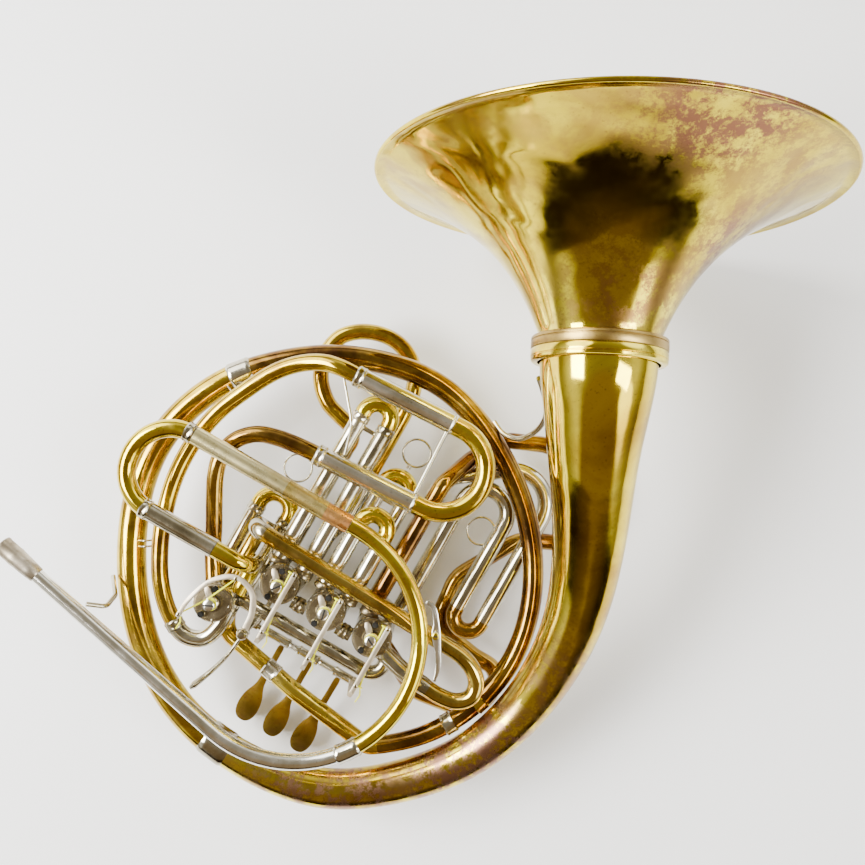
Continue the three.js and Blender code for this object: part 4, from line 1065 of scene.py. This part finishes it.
def string_round(index, lever, start, finish, sense):
    """One linkage string: its turn on the rotor's hub, its two runs to the lever, and its knots there."""
    x, y = VALVES[index]
    name = f"linkage_{index}"

    def bearing(p):
        return atan2(p[1] - y, p[0] - x)

    def swing(p):
        return acos(WRAP / hypot(p[0] - x, p[1] - y))

    first = bearing(start) + sense * swing(start)
    last = bearing(finish) - sense * swing(finish)
    while sense * (last - first) < radians(270):
        last += 2 * pi * sense
    steps = 48
    wound = []
    for k in range(steps + 1):
        a = first + (last - first) * k / steps
        wound.append((vec(x, y, WRAP_TOP - WRAP_DROP * k / steps) + spoke(a, WRAP), CORD_RADIUS))
    put(f"{name}_wound", sweep(wound, 12), "cord", body=f"rotor_{index}")
    knots = []
    for side, end, tip in (("first", Vector(start), wound[0][0]), ("last", Vector(finish), wound[-1][0])):
        tip = tip + (end - tip).normalized() * 1.2
        run = sweep([(end.lerp(tip, k / 12), CORD_RADIUS) for k in range(13)], 12)
        stretched = to_object(f"{name}_{side}_run", *run, "cord")
        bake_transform(stretched)
        knot = [(end + vec(1.6 * cos(a), 0, sin(a)), CORD_END) for a in circle(14)]
        knots.append(sweep(knot, 8, closed=True))
    hanging = ((0, 0, 0, CORD_END), (1.6, -2.4, -0.8, CORD_END), (3.2, -6, -2, CORD_END), (2.6, -12, -3.2, 0.45))
    knots.append(sweep([(Vector(finish) + Vector(offset), radius) for *offset, radius in hanging], 8))
    put(f"{name}_knots", merged(*knots), "cord", f"string_{index}", body=lever)


def build_strings():
    for index, (bar, *_) in LEVERS.items():
        string_round(index, f"finger_lever_{index}", (bar - 3.3, -139, 105.2), (bar + 3.3, -186, 104), -1)
    string_round(4, "thumb_lever", (*THUMB_FAR, 103.4), (*THUMB_NEAR, 103.2), 1)


def on_curve(angle, radius):
    """A point in plan, as seen from the middle of the leadpipe's curve."""
    return (vec(-12, -176, 0) + spoke(radians(angle), radius)).xy


def build_water_key():
    z = LEADPIPE_Z
    px, py = on_curve(31, 100.5)
    saddle = [
        (4, z - 5.6), (4.2, z - 4.8), (3, z - 4), (2.6, z - 1.6), (1.5, z - 1.5), (1.5, z + 4.2),
        (1, z + 5),
    ]
    put("water_key_post", turned(saddle, (px, py, 0), sides=32), "yellow_brass", "water_key_saddle")
    knots = [(*on_curve(angle, radius), z - 0.8, width) for angle, radius, width in (
        (45.5, 98, 1.5), (42, 101.4, 1.7), (36, 101.6, 2.1), (31, 101, 3.3), (25, 102.4, 2.3), (18, 104.5, 1.9),
        (12.5, 104.5, 1.1),
    )]
    put("water_key_blade", ribbon(flowing(knots, 5), 2.8, 0.5), "silver", "water_key_lever", body="water_key")
    screw = (px, py, z + 5.2, 2.6, 1.4)
    put("water_key_screw", screw_head(*screw), "yellow_brass")
    # The slot's dark plate is painted shade, in the near-black cork material
    put("water_key_slot_shade", screw_slot_shade(*screw, 0.5), "cork")
    put("water_key_spring", coil((px, py, z + 2.3), (px, py, z + 4.9), 2.2, 0.35, 3), "silver")


def build_rings():
    """The pull rings of the slides, each with the eye that holds it to its tube at a foot."""
    for name, centre, foot, body in (
        ("change", (-78.3, -77.5), (-78.3, -91.6), "change_slide"),
        ("second_f", (-2.5, -20.4), (-2.5, -34.6), "second_f_slide"),
        ("third_bb", (72.4, -48.4), (84, -48.4), BODY),
    ):
        middle, root = vec(*centre, LOWER), vec(*foot, LOWER)
        around = [(middle + spoke(a, 11), 0.95) for a in circle(40)]
        eye = [(root, 2.0), (root + (middle - root).normalized() * 3.4, 1.7)]
        put(f"{name}_ring", merged(sweep(around, 12, closed=True), sweep(eye, 16)), "nickel", body=body)


def build_braces():
    bell = smooth_route([
        (37, 31, 62), (47, 26.5, 66.5), (58, 28, 74), (65.5, 38, 87), (65, 50, 106), (56, 60, 126), (44, 68, 146),
    ], 2)
    put("bell_brace_wire", sweep(bell, 24), "nickel", "bell_brace")
    lead = rounded([(-154, -231.2, 109, 0, 1.8), (-142, -228, 102, 6), (-144, -223, 85, 8), (-156.5, -217.5, 67, 0)])
    put("leadpipe_brace_wire", sweep(lead, 24), "nickel", "leadpipe_brace")
    stay = ((-78, 4, 95), (-66, -10, 96), (-54, -25, 98), (-50, -36, 101), (-47, -46, 103))
    wires = [[(*k, 1.1) for k in stay]]
    for x, y, reach in ((-150, -46, 12), (-150, -184, 9)):
        inward = vec(-x, -90 - y, 0).normalized()
        aside = vec(-inward.y, inward.x, 0)
        for offset in (-2.2, 2.2):
            foot = vec(x, y, 70) + aside * offset
            knots = [
                foot - inward * reach * 0.2, foot + inward * reach * 0.45 + Z * 4, foot + inward * reach * 1.1,
            ]
            wires.append([(*k, 0.8) for k in knots])
    for number, knots in enumerate(wires):
        put(f"wire_brace_{number}", sweep(flowing(knots, 6), 16), "nickel")


for number, place in VALVES.items():
    build_valve(number, *place)
build_knuckles()
for number, places in LEVERS.items():
    build_lever(number, *places)
build_hinge()
build_thumb()
build_strings()
build_water_key()
build_rings()
build_braces()


# -------- camera, floor and light

SENSOR, FOCAL_PIXELS, FRAME_PIXELS = 36, 900, 865
CAMERA_HEIGHT, CAMERA_TURN = 755.5, radians(30)


def build_stage():
    reach, level = 3.0, -0.0005
    corners = [(x * reach, y * reach, level) for x, y in ((-1, -1), (1, -1), (1, 1), (-1, 1))]
    mesh = bpy.data.meshes.new("floor")
    mesh.from_pydata(corners, [], [(0, 1, 2, 3)])
    material, tree, shader, coords = new_material("floor_paper")
    mottle = noise(tree, coords, 3, detail=6)
    paper = ramp(tree, mottle, [(0.3, (0.93, 0.93, 0.925)), (0.7, (0.97, 0.97, 0.96))])
    tree.links.new(paper, shader.inputs["Base Color"])
    shader.inputs["Roughness"].default_value = 0.55
    mesh.materials.append(material)
    floor = linked("floor", mesh)


def build_camera():
    data = bpy.data.cameras.new("camera")
    data.sensor_width = SENSOR
    data.lens = SENSOR * FOCAL_PIXELS / FRAME_PIXELS
    camera = linked("camera", data)
    camera.location = at(0, 0, CAMERA_HEIGHT)
    camera.rotation_euler = (0, 0, CAMERA_TURN)
    bpy.context.scene.camera = camera


def area_light(name, place, target, size, power):
    data = bpy.data.lights.new(name, "AREA")
    data.shape = "RECTANGLE"
    data.size, data.size_y = size
    data.energy = power
    made = linked(name, data)
    made.location = place
    made.rotation_mode = "QUATERNION"
    made.rotation_quaternion = (Vector(target) - Vector(place)).to_track_quat("-Z", "Y")


def spot(tree, direction, middle, inner, outer):
    """1 within inner degrees of a direction, fading to 0 at outer."""
    along = node(tree, "ShaderNodeVectorMath", direction, Vector(middle).normalized(), operation="DOT_PRODUCT")
    return spread(tree, along.outputs["Value"], cos(radians(outer)), cos(radians(inner)))


def build_light():
    world = bpy.data.worlds.new("studio")
    bpy.context.scene.world = world
    world.use_nodes = True
    tree = world.node_tree
    background = tree.nodes["Background"]
    direction = node(tree, "ShaderNodeTexCoord").outputs["Generated"]
    height = node(tree, "ShaderNodeSeparateXYZ", direction).outputs["Z"]
    sky = ramp(tree, height, [
        (0.0, (0.34, 0.31, 0.25)), (0.12, (0.50, 0.47, 0.40)), (0.34, (1.15, 1.13, 1.06)), (0.5, (1.05, 1.03, 0.96)),
        (0.68, (0.46, 0.42, 0.33)), (0.86, (0.31, 0.27, 0.20)), (1.0, (0.28, 0.24, 0.17)),
    ])
    sky = mixed(tree, spot(tree, direction, (0.34, -0.60, 0.60), 34, 44), sky, (0.30, 0.21, 0.11))
    # Two dark shapes low down, as of someone who stands beside the horn, and three bright windows
    figure = ramp(tree, height, [(0.16, (0.025, 0.015, 0.008)), (0.46, (0.16, 0.10, 0.045))])
    for place in ((0.66, -0.75, -0.17), (0.28, -0.96, -0.17)):
        sky = mixed(tree, spot(tree, direction, place, 36.5, 38.5), sky, figure)
    for place, inner, outer, glow in (
        ((-0.80, 0.28, 0.52), 17, 21, 6), ((0.86, -0.05, 0.5), 11, 15, 5), ((0.3, 0.85, 0.42), 12, 20, 3),
    ):
        sky = mixed(tree, spot(tree, direction, place, inner, outer), sky, (glow, glow, glow * 0.97))
    seen = node(tree, "ShaderNodeLightPath").outputs["Is Camera Ray"]
    tree.links.new(mixed(tree, seen, sky, (0.9, 0.9, 0.9)), background.inputs["Color"])
    background.inputs["Strength"].default_value = 1.0
    area_light("window", (-1.35, -0.55, 1.5), (-0.15, -0.1, 0.05), (1.4, 0.9), 132)
    area_light("lamp", (1.2, 0.3, 1.4), (0, 0, 0.05), (0.5, 0.8), 22)


build_stage()
build_camera()
build_light()
